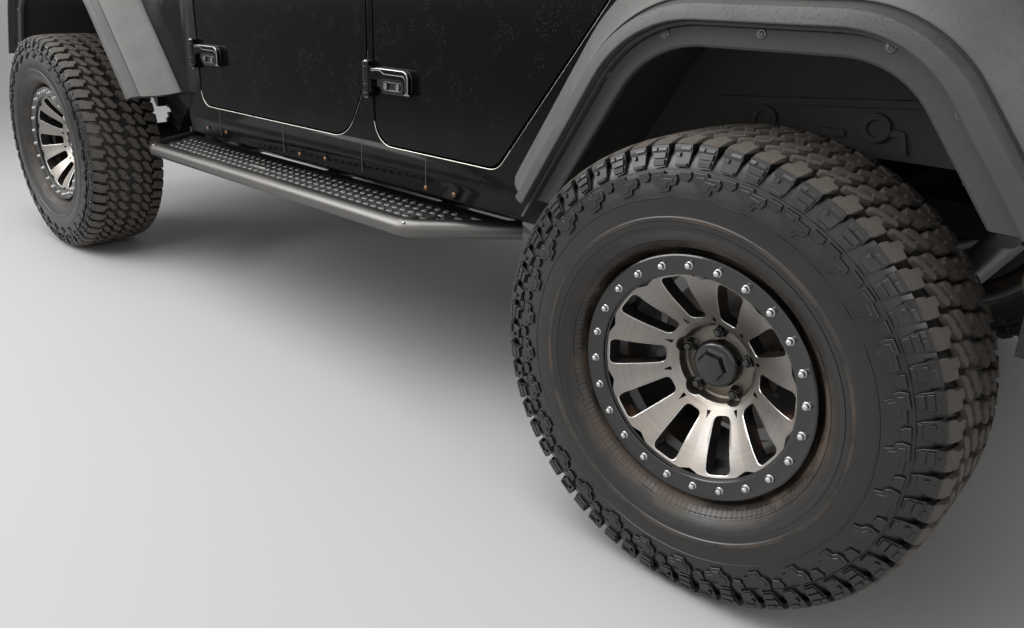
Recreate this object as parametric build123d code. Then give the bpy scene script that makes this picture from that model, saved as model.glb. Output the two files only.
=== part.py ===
"""Lifted four-door off-road 4x4, in millimetres.

While a piece is made, stations (x) run forward from the rear axle, heights (z) run up from
the axles' centre plane, and y is the vehicle's left. publish() then moves each piece so that
the origin lies on the ground at the middle of the overall length and width.
"""
from build123d import *

import os
from math import atan, cos, radians, sin, tan

# Overall sizes
wheelbase = 3008.0
track = 1710.0
front_overhang = 700.0
rear_overhang = 1080.0
body_half_width = 800.0

# Heights above the axles' centre plane
sill_bottom = 96.0
floor_height = 210.0
load_floor_height = 345.0
door_bottom = 257.0
belt_height = 832.0
door_top = 1440.0
roof_height = 1500.0

# Panel thicknesses
door_thickness = 70.0
skin_low = 20.0
skin_high = 14.0
inner_step = 8.0
window_frame_thickness = 40.0
glass_thickness = 5.0
floor_thickness = 32.0
rear_wall_thickness = 40.0

# Clearances
shut_gap = 7.5
pillar_gap = 6.0
seat_gap = 0.3
running_gap = 0.05
moving_gap = 5.5
arch_gap = 4.0

# Tyres and wheels
tyre_diameter = 880.0
tyre_width = 318.0
bead_radius = 216.0
rim_width = 246.0
ring_outer_radius = 233.0
ring_inner_radius = 193.0
mounting_face = -12.0
window_count = 10
window_inner_radius = 97.0
window_outer_radius = 189.0
window_inner_width = 33.0
window_outer_width = 53.0
lug_count = 5
lug_circle_radius = 63.5
lug_hole_radius = 7.5

# Axles, brakes and steering
axle_tube_radius = 42.0
differential_radius = 125.0
front_differential_y = 190.0
kingpin_y = 735.0
kingpin_radius = 12.0
knuckle_half_height = 75.0
fork_reach = 110.0
fork_half_width = 30.0
steering_arm = 140.0
tie_rod_pin_radius = 8.0
spindle_radius = 20.0
disc_radius = 156.0
disc_thickness = 24.0
disc_offset = 44.0

# Suspension
spring_y = 432.0
spring_radius = 42.0
spring_pad_top = 54.0
spring_tower_bottom = 230.0
link_radius = 18.0
link_eye_radius = 28.0
link_eye_width = 50.0
damper_radius = 30.0
damper_eye_width = 66.0
damper_rod_radius = 11.0
shaft_radius = 34.0
yoke_radius = 44.0

# Chassis
rail_y = 350.0
rail_width = 70.0
rail_low = 70.0
rail_middle_top = 168.0
rail_rear_top = 305.0
rail_front_top = 270.0
pipe_radius = 25.0
muffler_radius = 78.0
step_tube_radius = 25.0
step_height = 68.0

# Recovery eyes
eye_y = 350.0
eye_height = 200.0
eye_radius = 12.5

# Body stations forward of the rear axle, and of the front one
tub_rear = -700.0
rear_door_rear = 345.0
rear_door_front = 1105.0
front_door_rear = 1138.0
cowl_to_axle = 858.0
nose_to_axle = 472.0
windshield_run = 285.0

# Outside fittings
flare_width = 142.0
flare_rise = 130.0
fender_nose_y = 655.0
lamp_y = 490.0
lamp_height = 560.0
lamp_radius = 98.0
hinge_pin_radius = 5.0
hinge_barrel_radius = 10.0
hinge_half_height = 34.0
hood_hinge_y = 560.0
gate_axis_inset = 222.0
gate_plate_drop = 142.0

# Values that follow
tyre_radius = tyre_diameter / 2
bead_seat = rim_width / 2 - 17
wall_slope = (tyre_width / 2 - 1 - bead_seat) / 84
axle_height = tyre_radius
mid_station = (wheelbase + front_overhang - rear_overhang) / 2
front_face = wheelbase + front_overhang
wheel_y = track / 2
wheelhouse_y = wheel_y - tyre_width / 2 - 96
cowl_front = wheelbase - cowl_to_axle
cowl_height = belt_height + 18
fender_front = wheelbase + nose_to_axle
frame_front = fender_front + 80
windshield_foot = cowl_front - 65
windshield_top = windshield_foot - windshield_run
windshield_lean = windshield_run / (door_top - cowl_height)
front_door_front = windshield_foot - 39
flare_reach = body_half_width + flare_width
liner_reach = flare_reach - 20
hinge_y = body_half_width + 16
hinge_heights = (door_bottom + 168, belt_height - 87)
gate_axis_x = tub_rear - 14
gate_axis_y = gate_axis_inset - body_half_width
gate_hinge_heights = (400.0, 700.0)
hood_axis_x = cowl_front - 14
hood_axis_z = belt_height + 48
spare_height = tyre_radius + 250
hub_inner = wheel_y + mounting_face - disc_offset - disc_thickness / 2
transfer_rear = wheelbase - 1568
transfer_front = transfer_rear + 200


def outline(*corners):
    """A flat face from corners of (x, y, radius), each rounded by its own arc."""
    points = [Vector(x, y) for x, y, _ in corners]
    count = len(corners)
    turns = []
    for i, (_, _, radius) in enumerate(corners):
        here = points[i]
        back = (points[i - 1] - here).normalized()
        on = (points[(i + 1) % count] - here).normalized()
        if radius == 0:
            turns.append((here, None, here))
            continue
        half = radians(back.get_angle(on)) / 2
        reach = radius / tan(half)
        centre = here + (back + on).normalized() * (radius / sin(half))
        middle = centre + (here - centre).normalized() * radius
        turns.append((here + back * reach, middle, here + on * reach))
    edges = []
    for i, (start, middle, end) in enumerate(turns):
        if middle is not None:
            edges.append(ThreePointArc(start, middle, end))
        following = turns[(i + 1) % count][0]
        if (following - end).length > 0.001:
            edges.append(Line(end, following))
    return make_face(edges)


def along_y(face, start, end):
    """A prism between two widths, from a face drawn as (station, height)."""
    plane = Plane((0, end, 0), x_dir=(1, 0, 0), z_dir=(0, -1, 0))
    return extrude(plane * face, amount=end - start, dir=(0, -1, 0))


def along_x(face, start, end):
    """A prism between two stations, from a face drawn as (width, height)."""
    plane = Plane((start, 0, 0), x_dir=(0, 1, 0), z_dir=(1, 0, 0))
    return extrude(plane * face, amount=end - start, dir=(1, 0, 0))


def along_z(face, start, end):
    """A prism between two heights, from a face drawn as (station, width)."""
    return extrude(Plane.XY.offset(start) * face, amount=end - start, dir=(0, 0, 1))


def block(x0, x1, y0, y1, z0, z1):
    """A box from its six limits."""
    return Pos((x0 + x1) / 2, (y0 + y1) / 2, (z0 + z1) / 2) * Box(x1 - x0, y1 - y0, z1 - z0)


def rod(start, end, radius):
    """A round bar between two points."""
    axis = Vector(*end) - Vector(*start)
    plane = Plane(Vector(*start), z_dir=axis.normalized())
    return extrude(plane * Circle(radius), amount=axis.length)


def pin_along_y(x, y, z, radius, length):
    """A round pin across the vehicle, from its middle."""
    return Pos(x, y, z) * Rot(90, 0, 0) * Cylinder(radius, length)


def bent_pipe(points, bends, radius):
    """A pipe along straight runs joined by arcs."""
    path = FilletPolyline(*points, radius=bends)
    start = Plane(Vector(*points[0]), z_dir=(Vector(*points[1]) - Vector(*points[0])).normalized())
    return sweep(start * Circle(radius), path=path)


def other_side(shape):
    """The same piece on the vehicle's right."""
    return mirror(shape, about=Plane.XZ)


def both_sides(shape):
    """The piece and its mirror image, as two solids."""
    return [shape, other_side(shape)]


def publish(name, *pieces):
    """Writes one node, moved to the ground and to the middle of the length."""
    solids = [solid for piece in pieces for solid in piece.solids()]
    moved = Pos(-mid_station, 0, axle_height) * Compound(solids)
    export_step(moved, f"parts/{name}.step")


# The cab's cross-section and the outlines of its openings

def cab_section(low_inset, high_inset):
    """The cab seen from behind, inset below and above its belt line."""
    # (half width, height, corner radius) up one side
    side = [
        (body_half_width - 14 - low_inset, sill_bottom, 0),
        (body_half_width - low_inset, sill_bottom + 104, 0),
        (body_half_width - low_inset, belt_height - 87, 0),
        (body_half_width - 12 - low_inset, belt_height - 10, 0),
        (body_half_width - 24 - high_inset, belt_height + 4, 0),
        (body_half_width - 97 - high_inset, roof_height - 20 - high_inset, 60),
    ]
    crown = (0, roof_height + 12 - high_inset, 11000)
    far_side = [(-y, z, radius) for y, z, radius in reversed(side)]
    return outline(*side, crown, *far_side)


def cab_band(low_outer, high_outer, low_inner, high_inner):
    """The cab's wall between two insets, over its whole length."""
    start = tub_rear - 60
    end = cowl_front + 150
    outer = along_x(cab_section(low_outer, high_outer), start, end)
    inner = along_x(cab_section(low_inner, high_inner), start - 10, end + 10)
    wide = body_half_width - 200
    floor_cut = block(start - 10, end + 10, -wide, wide, sill_bottom - 10, sill_bottom + 200)
    return outer - inner - floor_cut


def left_half(face):
    """A side outline as a cutter that takes in the whole left wall."""
    return along_y(face, body_half_width / 2, body_half_width + 200)


def front_door_outline(grow=0.0):
    """The front door's edge: a lean at the windshield and a long curve at its lower rear corner."""
    lean = windshield_lean
    front_low = front_door_front + grow
    front_high = front_door_front - 6 - lean * (door_top - belt_height) + grow
    return outline(
        (front_low, door_bottom - grow, 55),
        (front_low, belt_height, 0),
        (front_high - lean * grow, door_top + grow, 25),
        (front_door_rear - grow, door_top + grow, 15),
        (front_door_rear - grow, door_bottom + 173, 350),
        (front_door_rear + 97, door_bottom - grow, 105),
    )


def rear_door_outline(grow=0.0):
    """The rear door's edge, which follows the rear arch on a slant."""
    return outline(
        (rear_door_front + grow, door_bottom - grow, 70),
        (rear_door_front + grow, door_top + grow, 15),
        (rear_door_rear - grow, door_top + grow, 40),
        (rear_door_rear - grow, REAR_ARCH["top"] + 51, 150),
        (rear_door_rear + 315 - grow * 0.8, door_bottom - grow, 55),
    )


def front_window_outline(shrink=0.0):
    """The opening in the front door's window frame."""
    low = belt_height + 30
    high = door_top - 48
    front_low = front_door_front - 70 - shrink
    front_high = front_low - windshield_lean * (high - low)
    return outline(
        (front_low, low + shrink, 18),
        (front_high, high - shrink, 30),
        (front_door_rear + 52 + shrink, high - shrink, 30),
        (front_door_rear + 52 + shrink, low + shrink, 18),
    )


def rear_window_outline(shrink=0.0):
    """The opening in the rear door's window frame."""
    low = belt_height + 30 + shrink
    high = door_top - 48 - shrink
    return outline(
        (rear_door_front - 52 - shrink, low, 18),
        (rear_door_front - 52 - shrink, high, 30),
        (rear_door_rear + 52 + shrink, high, 30),
        (rear_door_rear + 52 + shrink, low, 18),
    )


# Arches: (leg reach at the axle's height, leg lean, corner radius) for the fore and aft legs

REAR_ARCH = {
    "station": 0.0, "top": tyre_radius + 181,
    "fore": (tyre_radius + 150, 0.598, 230.0), "aft": (tyre_radius + 258, 0.699, 211.0),
}
FRONT_ARCH = {
    "station": wheelbase, "top": tyre_radius + 200,
    "fore": (tyre_radius + 180, 0.40, 200.0), "aft": (tyre_radius + 429, 0.80, 250.0),
}


def arch_outline(arch, grow, foot=-60.0):
    """A wheel arch open downwards, grown outwards by a distance."""
    top = arch["top"] + grow
    corners = []
    for side, (reach, lean, radius) in ((1, arch["fore"]), (-1, arch["aft"])):
        wide = reach + grow / cos(atan(lean))
        low = (arch["station"] + side * (wide - lean * foot), foot, 0)
        high = (arch["station"] + side * (wide - lean * top), top, radius + grow)
        corners.append((low, high))
    (fore_low, fore_high), (aft_low, aft_high) = corners
    return outline(fore_low, fore_high, aft_high, aft_low)


def arch_prism(arch, grow, start, end):
    """The arch's space between two widths on the left."""
    return along_y(arch_outline(arch, grow), start, end)


# Wheels

def tyre():
    """A hollow carcass: bead, bulged side wall, shoulder and tread, its axis on z."""
    half = tyre_width / 2
    seat = bead_seat - seat_gap
    inside = bead_radius + seat_gap
    # (radius, distance from the centre plane, corner radius) from the bead out to the tread
    outer = [
        (inside, seat, 0), (bead_radius + 84, half - 1, 0), (tyre_radius - 60, half - 4, 0),
        (tyre_radius, half - 40, 0),
    ]
    inner = [(tyre_radius - 24, half - 62, 0), (bead_radius + 74, half - 22, 0), (inside, seat - 22, 0)]
    far_outer = [(r, -z, turn) for r, z, turn in reversed(outer)]
    far_inner = [(r, -z, turn) for r, z, turn in reversed(inner)]
    ring = outline(*outer, *far_outer, *far_inner, *inner)
    return revolve(Plane.XZ * ring, axis=Axis.Z)


def rim():
    """The wheel: a barrel, a dished face with ten windows, a bolted ring and a hub cap, axis on z."""
    lip = rim_width / 2
    seat = bead_seat
    flange = seat + (ring_outer_radius + 2 - bead_radius) * wall_slope + 1.2
    drop = bead_radius - 26
    wall = 8.0
    barrel = outline(
        (ring_inner_radius, lip - 14, 0),
        (ring_inner_radius, lip - 4, 0),
        (ring_outer_radius - 4, lip, 0),
        (ring_outer_radius + 2, flange, 0),
        (bead_radius, seat, 0),
        (bead_radius, lip - 43, 0),
        (drop, lip - 66, 0),
        (drop, 82 - lip, 0),
        (bead_radius, 57 - lip, 0),
        (bead_radius, -seat, 0),
        (ring_outer_radius + 2, -lip, 0),
        (drop - wall, 20 - lip, 0),
        (drop - wall, lip - 70, 0),
    )
    # (radius, distance from the centre plane) down the dished face, then back up its rear
    face = outline(
        (0, 10, 0),
        (76, 10, 0),
        (78, 35, 0),
        (150, 87, 0),
        (ring_inner_radius + 2, lip - 13, 0),
        (bead_radius - 30, lip - 48, 0),
        (84, 6, 0),
        (80, mounting_face, 0),
        (0, mounting_face, 0),
    )
    wheel = revolve(Plane.XZ * barrel, axis=Axis.Z) + revolve(Plane.XZ * face, axis=Axis.Z)
    window = outline(
        (window_inner_radius, -window_inner_width / 2, 10),
        (window_outer_radius, -window_outer_width / 2, 12),
        (window_outer_radius, window_outer_width / 2, 12),
        (window_inner_radius, window_inner_width / 2, 10),
    )
    cutter = along_z(window, 0, lip)
    for i in range(window_count):
        wheel -= Rot(0, 0, i * 360 / window_count) * cutter
    lug_hole = Pos(lug_circle_radius, 0, 0) * Cylinder(lug_hole_radius, 80)
    for i in range(lug_count):
        wheel -= Rot(0, 0, (i + 0.25) * 360 / lug_count) * lug_hole
    cap = Pos(0, 0, 10 + 27 / 2) * Cylinder(47, 27)
    cap += extrude(Plane.XY.offset(37) * RegularPolygon(28, 6), amount=20)
    return wheel + cap


def disc():
    """A brake disc with its hat and hub, its axis on z, bored for the spindle."""
    plate = Pos(0, 0, mounting_face - disc_offset) * Cylinder(disc_radius, disc_thickness)
    hat = Pos(0, 0, mounting_face - disc_offset / 2) * Cylinder(lug_circle_radius + 18, disc_offset)
    bore = Pos(0, 0, mounting_face - 34) * Cylinder(spindle_radius + running_gap, 44)
    return plate + hat - bore


def caliper(root_y):
    """The left brake caliper behind the axle: a bridge over the disc, with an arm in to the hub carrier."""
    middle = wheel_y + mounting_face - disc_offset
    slot = disc_thickness / 2 + moving_gap
    low, edge, high = disc_radius - 50, disc_radius + moving_gap, disc_radius + 20
    back, face = middle - slot - 26, middle + slot + 16
    body = outline(
        (low, back, 0), (high, back, 0), (high, face, 0), (low, face, 0), (low, middle + slot, 0),
        (edge, middle + slot, 0), (edge, middle - slot, 0), (low, middle - slot, 0),
    )
    sweep_angle = 50
    bridge = Rot(0, 180 - sweep_angle / 2, 0) * revolve(body, axis=Axis.Y, revolution_arc=sweep_angle)
    arm = block(-low - 10, -20, root_y, middle - slot - 8, -26, 26)
    return bridge + arm


def on_left(shape, station):
    """Stands a wheel's piece on the left at a station, its outer face towards +y."""
    return Pos(station, wheel_y, 0) * Rot(-90, 0, 0) * shape


def on_right(shape, station):
    """Stands a wheel's piece on the right at a station, its outer face towards -y."""
    return Pos(station, -wheel_y, 0) * Rot(90, 0, 0) * shape


def wheels():
    """Four wheels on the axles and the spare on the tailgate."""
    tyre_piece = tyre()
    rim_piece = rim()
    disc_piece = disc()
    for name, station in (("front", wheelbase), ("rear", 0.0)):
        for side, place in (("left", on_left), ("right", on_right)):
            publish(f"tyre_{name}_{side}", place(tyre_piece, station))
            publish(f"rim_{name}_{side}", place(rim_piece, station))
            publish(f"brake_disc_{name}_{side}", place(disc_piece, station))
    spare = Pos(-rear_overhang + tyre_width / 2, 0, spare_height) * Rot(0, -90, 0)
    publish("spare_tyre", spare * tyre_piece)
    publish("spare_rim", spare * rim_piece)


# Axles and steering

def drum(middle, radius, half_length):
    """A differential's housing: a short drum on the y axis with sloped ends."""
    section = outline(
        (0, middle - half_length, 0),
        (radius * 0.55, middle - half_length, 0),
        (radius, middle - half_length * 0.4, 0),
        (radius, middle + half_length * 0.4, 0),
        (radius * 0.55, middle + half_length, 0),
        (0, middle + half_length, 0),
    )
    return revolve(section, axis=Axis.Y)


def axle_beam(half_length, differential_y, nose_reach):
    """A solid axle's tube with its differential, pinion nose and spring pads."""
    tube = rod((0, -half_length, 0), (0, half_length, 0), axle_tube_radius)
    housing = drum(differential_y, differential_radius, 95)
    nose = rod((0, differential_y, 0), (nose_reach, differential_y, 0), 57)
    pad = Pos(0, spring_y, spring_pad_top / 2) * Cylinder(spring_radius + 6, spring_pad_top)
    return tube + housing + nose + pad + other_side(pad)


def ears(x0, x1, y, z0, z1, eye_width):
    """Two plates that hold an eye between them."""
    inner = eye_width / 2 + seat_gap
    return block(x0, x1, y + inner, y + inner + 8, z0, z1) + block(x0, x1, y - inner - 8, y - inner, z0, z1)


def link(start, end):
    """A suspension arm: a bar with an eye across the vehicle at each end."""
    bar = rod(start, end, link_radius)
    for x, y, z in (start, end):
        bar += pin_along_y(x, y, z, link_eye_radius, link_eye_width)
    return bar


def damper(low, high):
    """A damper: a fat body above, a thin rod below, and an eye at each end."""
    middle = tuple(a + (b - a) * 0.38 for a, b in zip(low, high))
    whole = rod(low, high, damper_rod_radius) + rod(middle, high, damper_radius)
    for x, y, z in (low, high):
        whole += pin_along_y(x, y, z, 20, damper_eye_width)
    return whole


# Where the suspension's pieces are held: (station from the axle, y, height)
arm_low_z = -75.0
arm_high_reach = 640.0
arm_high_z = 30.0
rear_damper = ((-150.0, 555.0, -60.0), (-372.0, 555.0, 272.0))
front_damper = ((-122.0, spring_y, -42.0), (-122.0, spring_y, 330.0))
track_bar_x = 180.0


def axle_brackets(damper_at):
    """The left ears for the lower arm and for the damper."""
    low_x, low_y, low_z = damper_at
    arm = ears(-30, 30, rail_y, arm_low_z - 24, -20, link_eye_width)
    hold = ears(low_x - 26, -18, low_y, low_z - 22, -12, damper_eye_width)
    return arm + hold


def front_axle():
    """The front axle with a fork at each end that holds the kingpins."""
    beam = axle_beam(kingpin_y - 50, front_differential_y, -165)
    wide = fork_half_width
    fork = block(-wide, wide, kingpin_y - 60, kingpin_y - 40, -fork_reach, fork_reach)
    for side in (1, -1):
        z0, z1 = sorted((side * (knuckle_half_height + 6), side * fork_reach))
        fork += block(-wide, wide, kingpin_y - 60, kingpin_y + 30, z0, z1)
    fork -= Pos(0, kingpin_y, 0) * Cylinder(kingpin_radius + running_gap, 400)
    brackets = axle_brackets(front_damper[0])
    post = block(10, track_bar_x + 20, -spring_y - 23, -spring_y + 27, -30, spring_pad_top - 4)
    axle = beam + fork + other_side(fork) + brackets + other_side(brackets) + post
    return Pos(wheelbase, 0, 0) * axle


def knuckle():
    """The left knuckle: an upright on its kingpins, a spindle, a steering arm and the brake caliper."""
    upright = Pos(0, kingpin_y, 0) * Cylinder(fork_half_width + 2, 2 * knuckle_half_height)
    pin = Pos(0, kingpin_y, 0) * Cylinder(kingpin_radius, 2 * fork_reach)
    carrier = rod((0, kingpin_y + 20, 0), (0, hub_inner - 5, 0), 58)
    spindle = rod((0, kingpin_y, 0), (0, hub_inner + 38, 0), spindle_radius)
    arm = block(20, steering_arm, kingpin_y - 14, kingpin_y + 14, -62, -40)
    eye = Pos(steering_arm, kingpin_y, -51) * Cylinder(20, 22)
    bore = Pos(steering_arm, kingpin_y, -51) * Cylinder(tie_rod_pin_radius + running_gap, 60)
    whole = upright + pin + carrier + spindle + arm + eye + caliper(kingpin_y + 21) - bore
    return Pos(wheelbase, 0, 0) * whole


def tie_rod():
    """The bar that joins the two steering arms, with a stud up into the left eye."""
    y = kingpin_y
    low = -51 - 11 - 20
    bar = rod((steering_arm, -y, low), (steering_arm, y, low), 15)
    stud = Pos(steering_arm, y, low + 15) * Cylinder(tie_rod_pin_radius, 54)
    return Pos(wheelbase, 0, 0) * (bar + stud)


def rear_axle():
    """The rear axle with a spindle and a brake caliper at each end."""
    beam = axle_beam(hub_inner - 5, 0, 150)
    end = rod((0, hub_inner - 60, 0), (0, hub_inner - 5, 0), 58)
    end += rod((0, hub_inner - 30, 0), (0, hub_inner + 38, 0), spindle_radius)
    end += axle_brackets(rear_damper[0]) + caliper(hub_inner - 50)
    post = block(-track_bar_x - 20, -10, -spring_y - 23, -spring_y + 27, -30, spring_pad_top - 4)
    return beam + end + other_side(end) + post


def control_links():
    """Four lower arms and the two track bars that hold the axles sideways."""
    pieces = []
    for station, way in ((0.0, 1), (wheelbase, -1)):
        low = (station, rail_y, arm_low_z)
        high = (station + way * arm_high_reach, rail_y, arm_high_z)
        pieces += both_sides(link(low, high))
        # The bar's end faces meet a post on the left rail and one on the axle's right
        x = station - way * track_bar_x
        left = rail_y - 25 - seat_gap
        right = spring_y - 27 - seat_gap
        bar = rod((x, -right + 24, 28), (x, left - 24, 146), 15)
        bar += Pos(x, left - 14, 146) * Box(40, 28, 40) + Pos(x, 14 - right, 28) * Box(40, 28, 40)
        pieces.append(bar)
    return pieces


def dampers():
    """Four dampers between the axles and the frame."""
    pieces = []
    for station, (low, high) in ((0.0, rear_damper), (wheelbase, front_damper)):
        ends = [(station + x, y, z) for x, y, z in (low, high)]
        pieces += both_sides(damper(*ends))
    return pieces


def springs():
    """Four coil springs, here as plain sleeves."""
    pieces = []
    for station in (0, wheelbase):
        low = spring_pad_top + seat_gap
        high = spring_tower_bottom - seat_gap
        spring = Pos(station, spring_y, (low + high) / 2) * Cylinder(spring_radius, high - low)
        pieces += both_sides(spring)
    return pieces


def driveshafts():
    """The two shafts from the transfer case to the axles, with flat yokes at their ends."""
    # (start face, end face, y and height at each)
    rear = ((150 + seat_gap, 0.0, 0.0), (transfer_rear - seat_gap, 0.0, 100.0))
    front = (
        (transfer_front + seat_gap, 150.0, 75.0), (wheelbase - 165 - seat_gap, front_differential_y, 0.0),
    )
    pieces = []
    for start, end in (rear, front):
        inner_start = (start[0] + 50, start[1], start[2])
        inner_end = (end[0] - 50, end[1], end[2])
        shaft = rod((start[0] + 30, *start[1:]), (end[0] - 30, *end[1:]), shaft_radius - 8)
        pieces.append(shaft + rod(start, inner_start, yoke_radius) + rod(inner_end, end, yoke_radius))
    return pieces


# Chassis

def rail_profile():
    """A frame rail seen from the side: it rises over both axles."""
    rear = tub_rear + 60
    front_rise = wheelbase - 658
    return outline(
        (rear, 205, 0), (rear, rail_rear_top, 0), (380, rail_rear_top, 0), (640, rail_middle_top, 0),
        (front_rise, rail_middle_top, 0), (front_rise + 210, rail_front_top, 0),
        (frame_front, rail_front_top, 0), (frame_front, 170, 0), (front_rise + 250, 170, 0),
        (front_rise + 50, rail_low, 0), (600, rail_low, 0), (330, 205, 0),
    )


def frame():
    """The ladder frame: two box rails, cross members, spring towers and the suspension's brackets."""
    half = rail_width / 2
    rear = tub_rear + 60
    left = along_y(rail_profile(), rail_y - half, rail_y + half)
    floor_bottom = floor_height - floor_thickness
    for station in (760, 1400, cowl_front - 100):
        height = floor_bottom - rail_middle_top
        left += Pos(station, rail_y, rail_middle_top + height / 2) * Cylinder(32, height)
    for station in (0, wheelbase):
        left += block(
            station - 50, station + 50, rail_y - 20, spring_y + 40, spring_tower_bottom,
            spring_tower_bottom + 32,
        )
    for station, way in ((0.0, 1), (wheelbase, -1)):
        x = station + way * arm_high_reach
        left += ears(x - 28, x + 28, rail_y, arm_high_z - 24, rail_low + 12, link_eye_width)
    horn_plate_top = 225
    left += block(rear - 20, rear, rail_y - half, rail_y + half, rail_low, horn_plate_top)
    for station, (_, (x, y, z)), low in (
        (0.0, rear_damper, 254), (wheelbase, front_damper, rail_front_top - 12),
    ):
        eye_face = y - damper_eye_width / 2 - seat_gap
        left += block(station + x - 18, station + x + 18, rail_y, eye_face, low, max(z + 18, low + 50))
    whole = left + other_side(left)
    for station, way, top in ((0.0, 1, 215), (wheelbase, -1, 180)):
        x = station - way * track_bar_x
        whole += block(x - 20, x + 20, rail_y - 25, rail_y + 25, 124, top)
    # (rear station, front station, lowest, highest) of the straight cross members
    members = ((rear, rear + 60, 215, 295), (420, 480, 180, 245), (frame_front - 60, frame_front, 180, 260))
    for x0, x1, z0, z1 in members:
        whole += block(x0, x1, -rail_y, rail_y, z0, z1)
    return whole + gearbox_member()


def gearbox_member():
    """The dropped cross member under the gearbox, clear of the exhaust and the rear shaft."""
    shape = outline(
        (rail_y, rail_low, 0), (rail_y, rail_low + 40, 0), (rail_y - 60, rail_low + 40, 0),
        (250, -8, 12), (-250, -8, 12), (60 - rail_y, rail_low + 40, 0), (-rail_y, rail_low + 40, 0),
        (-rail_y, rail_low, 0), (20 - rail_y, rail_low, 0), (-270, -44, 25), (270, -44, 25),
        (rail_y - 20, rail_low, 0),
    )
    station = transfer_rear - 190
    return along_x(shape, station, station + 60)


def engine():
    """The engine, gearbox and transfer case as one plain block."""
    rear = wheelbase - 448
    motor = block(rear, rear + 600, -220, 220, 130, 640)
    gearbox = rod((transfer_rear + 60, 0, 120), (rear + 40, 0, 200), 100)
    transfer = block(transfer_rear, transfer_front, -110, 195, 30, 168)
    mount = block(rear + 240, rear + 340, 200, rail_y - rail_width / 2 - seat_gap, 180, 250)
    return motor + gearbox + transfer + mount + other_side(mount)


def exhaust():
    """One pipe from the engine over the rear axle, a crosswise muffler and a tail pipe."""
    start = wheelbase - 380
    y = -190.0
    low = 30.0
    front = bent_pipe(
        ((start, y, 130 - seat_gap), (start, y, low), (700, y, low), (330, -120, 128), (-420, -120, 128)),
        70, pipe_radius,
    )
    muffler_x = tub_rear + 270
    muffler = Pos(muffler_x, 0, 110) * Rot(90, 0, 0) * Cylinder(muffler_radius, 480)
    tail = bent_pipe(
        ((muffler_x, -200, 96), (muffler_x - 190, -215, 24), (muffler_x - 445, -215, 24)), 60,
        pipe_radius - 3,
    )
    inner_rail = rail_y - rail_width / 2 - seat_gap
    hanger = block(muffler_x - 8, muffler_x + 8, 225, 239, 110, 250)
    hanger += block(muffler_x - 8, muffler_x + 8, 225, inner_rail, 236, 250)
    return front + muffler + tail + hanger + other_side(hanger)


def fuel_tank():
    """The tank under the rear floor, to the left of the shaft."""
    top = floor_height - floor_thickness - seat_gap
    edge = rail_y - rail_width / 2 - 10
    section = outline((60, top - 135, 30), (edge, top - 135, 30), (edge, top, 20), (60, top, 20))
    tank = along_x(section, 690, 1150)
    for station in (780, 1030):
        tank += block(station, station + 30, 57, edge + 3, top - 138, top - 40)
    return tank


# Body

def wheelhouse_inner():
    """The tub's wall between the cabin and the left rear wheel, above the load floor."""
    shell = arch_prism(REAR_ARCH, arch_gap + 10, wheelhouse_y - 20, body_half_width - door_thickness)
    shell -= arch_prism(REAR_ARCH, arch_gap, wheelhouse_y - 6, body_half_width + 200)
    return shell & block(
        tub_rear - 60, 700, wheelhouse_y - 100, body_half_width, load_floor_height - 25, belt_height,
    )


def tub_side():
    """The tub's left side: skin, door posts, inner wall and sill."""
    outer = cab_band(0, 0, door_thickness, window_frame_thickness)
    jamb = cab_band(
        door_thickness + 6, window_frame_thickness + 6, door_thickness + 42, window_frame_thickness + 38,
    )
    side = left_half(outline(
        (tub_rear, 190, 0), (tub_rear, belt_height, 0), (cowl_front, belt_height, 0),
        (cowl_front, sill_bottom, 60), (690, sill_bottom, 0), (540, 190, 0),
    ))
    foot = door_bottom + 3
    pillar_rear, pillar_front = rear_door_front + pillar_gap, front_door_rear - pillar_gap
    pillar = outline(
        (pillar_rear, foot, 0), (pillar_front, foot, 0), (pillar_front, door_top, 0),
        (pillar_rear, door_top, 0),
    )
    post_rear, post_front = rear_door_front - 30, front_door_rear + 32
    post = outline(
        (post_rear, foot, 0), (post_front, foot, 0), (post_front, door_top, 0), (post_rear, door_top, 0),
    )
    doors_cut = left_half(front_door_outline(shut_gap)) + left_half(rear_door_outline(shut_gap))
    doors_in = left_half(front_door_outline(-34)) + left_half(rear_door_outline(-34))
    skin = (outer & side) - doors_cut + (outer & left_half(pillar))
    inner = (jamb & side) - doors_in + (jamb & left_half(post))
    sill = block(
        560, cowl_front, body_half_width - 160, body_half_width - 78, sill_bottom + 6, door_bottom - 40,
    )
    left = skin + inner + sill
    left -= arch_prism(REAR_ARCH, arch_gap, wheelhouse_y - 6, body_half_width + 200)
    return left - arch_prism(FRONT_ARCH, arch_gap, body_half_width / 2, body_half_width + 200)


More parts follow.
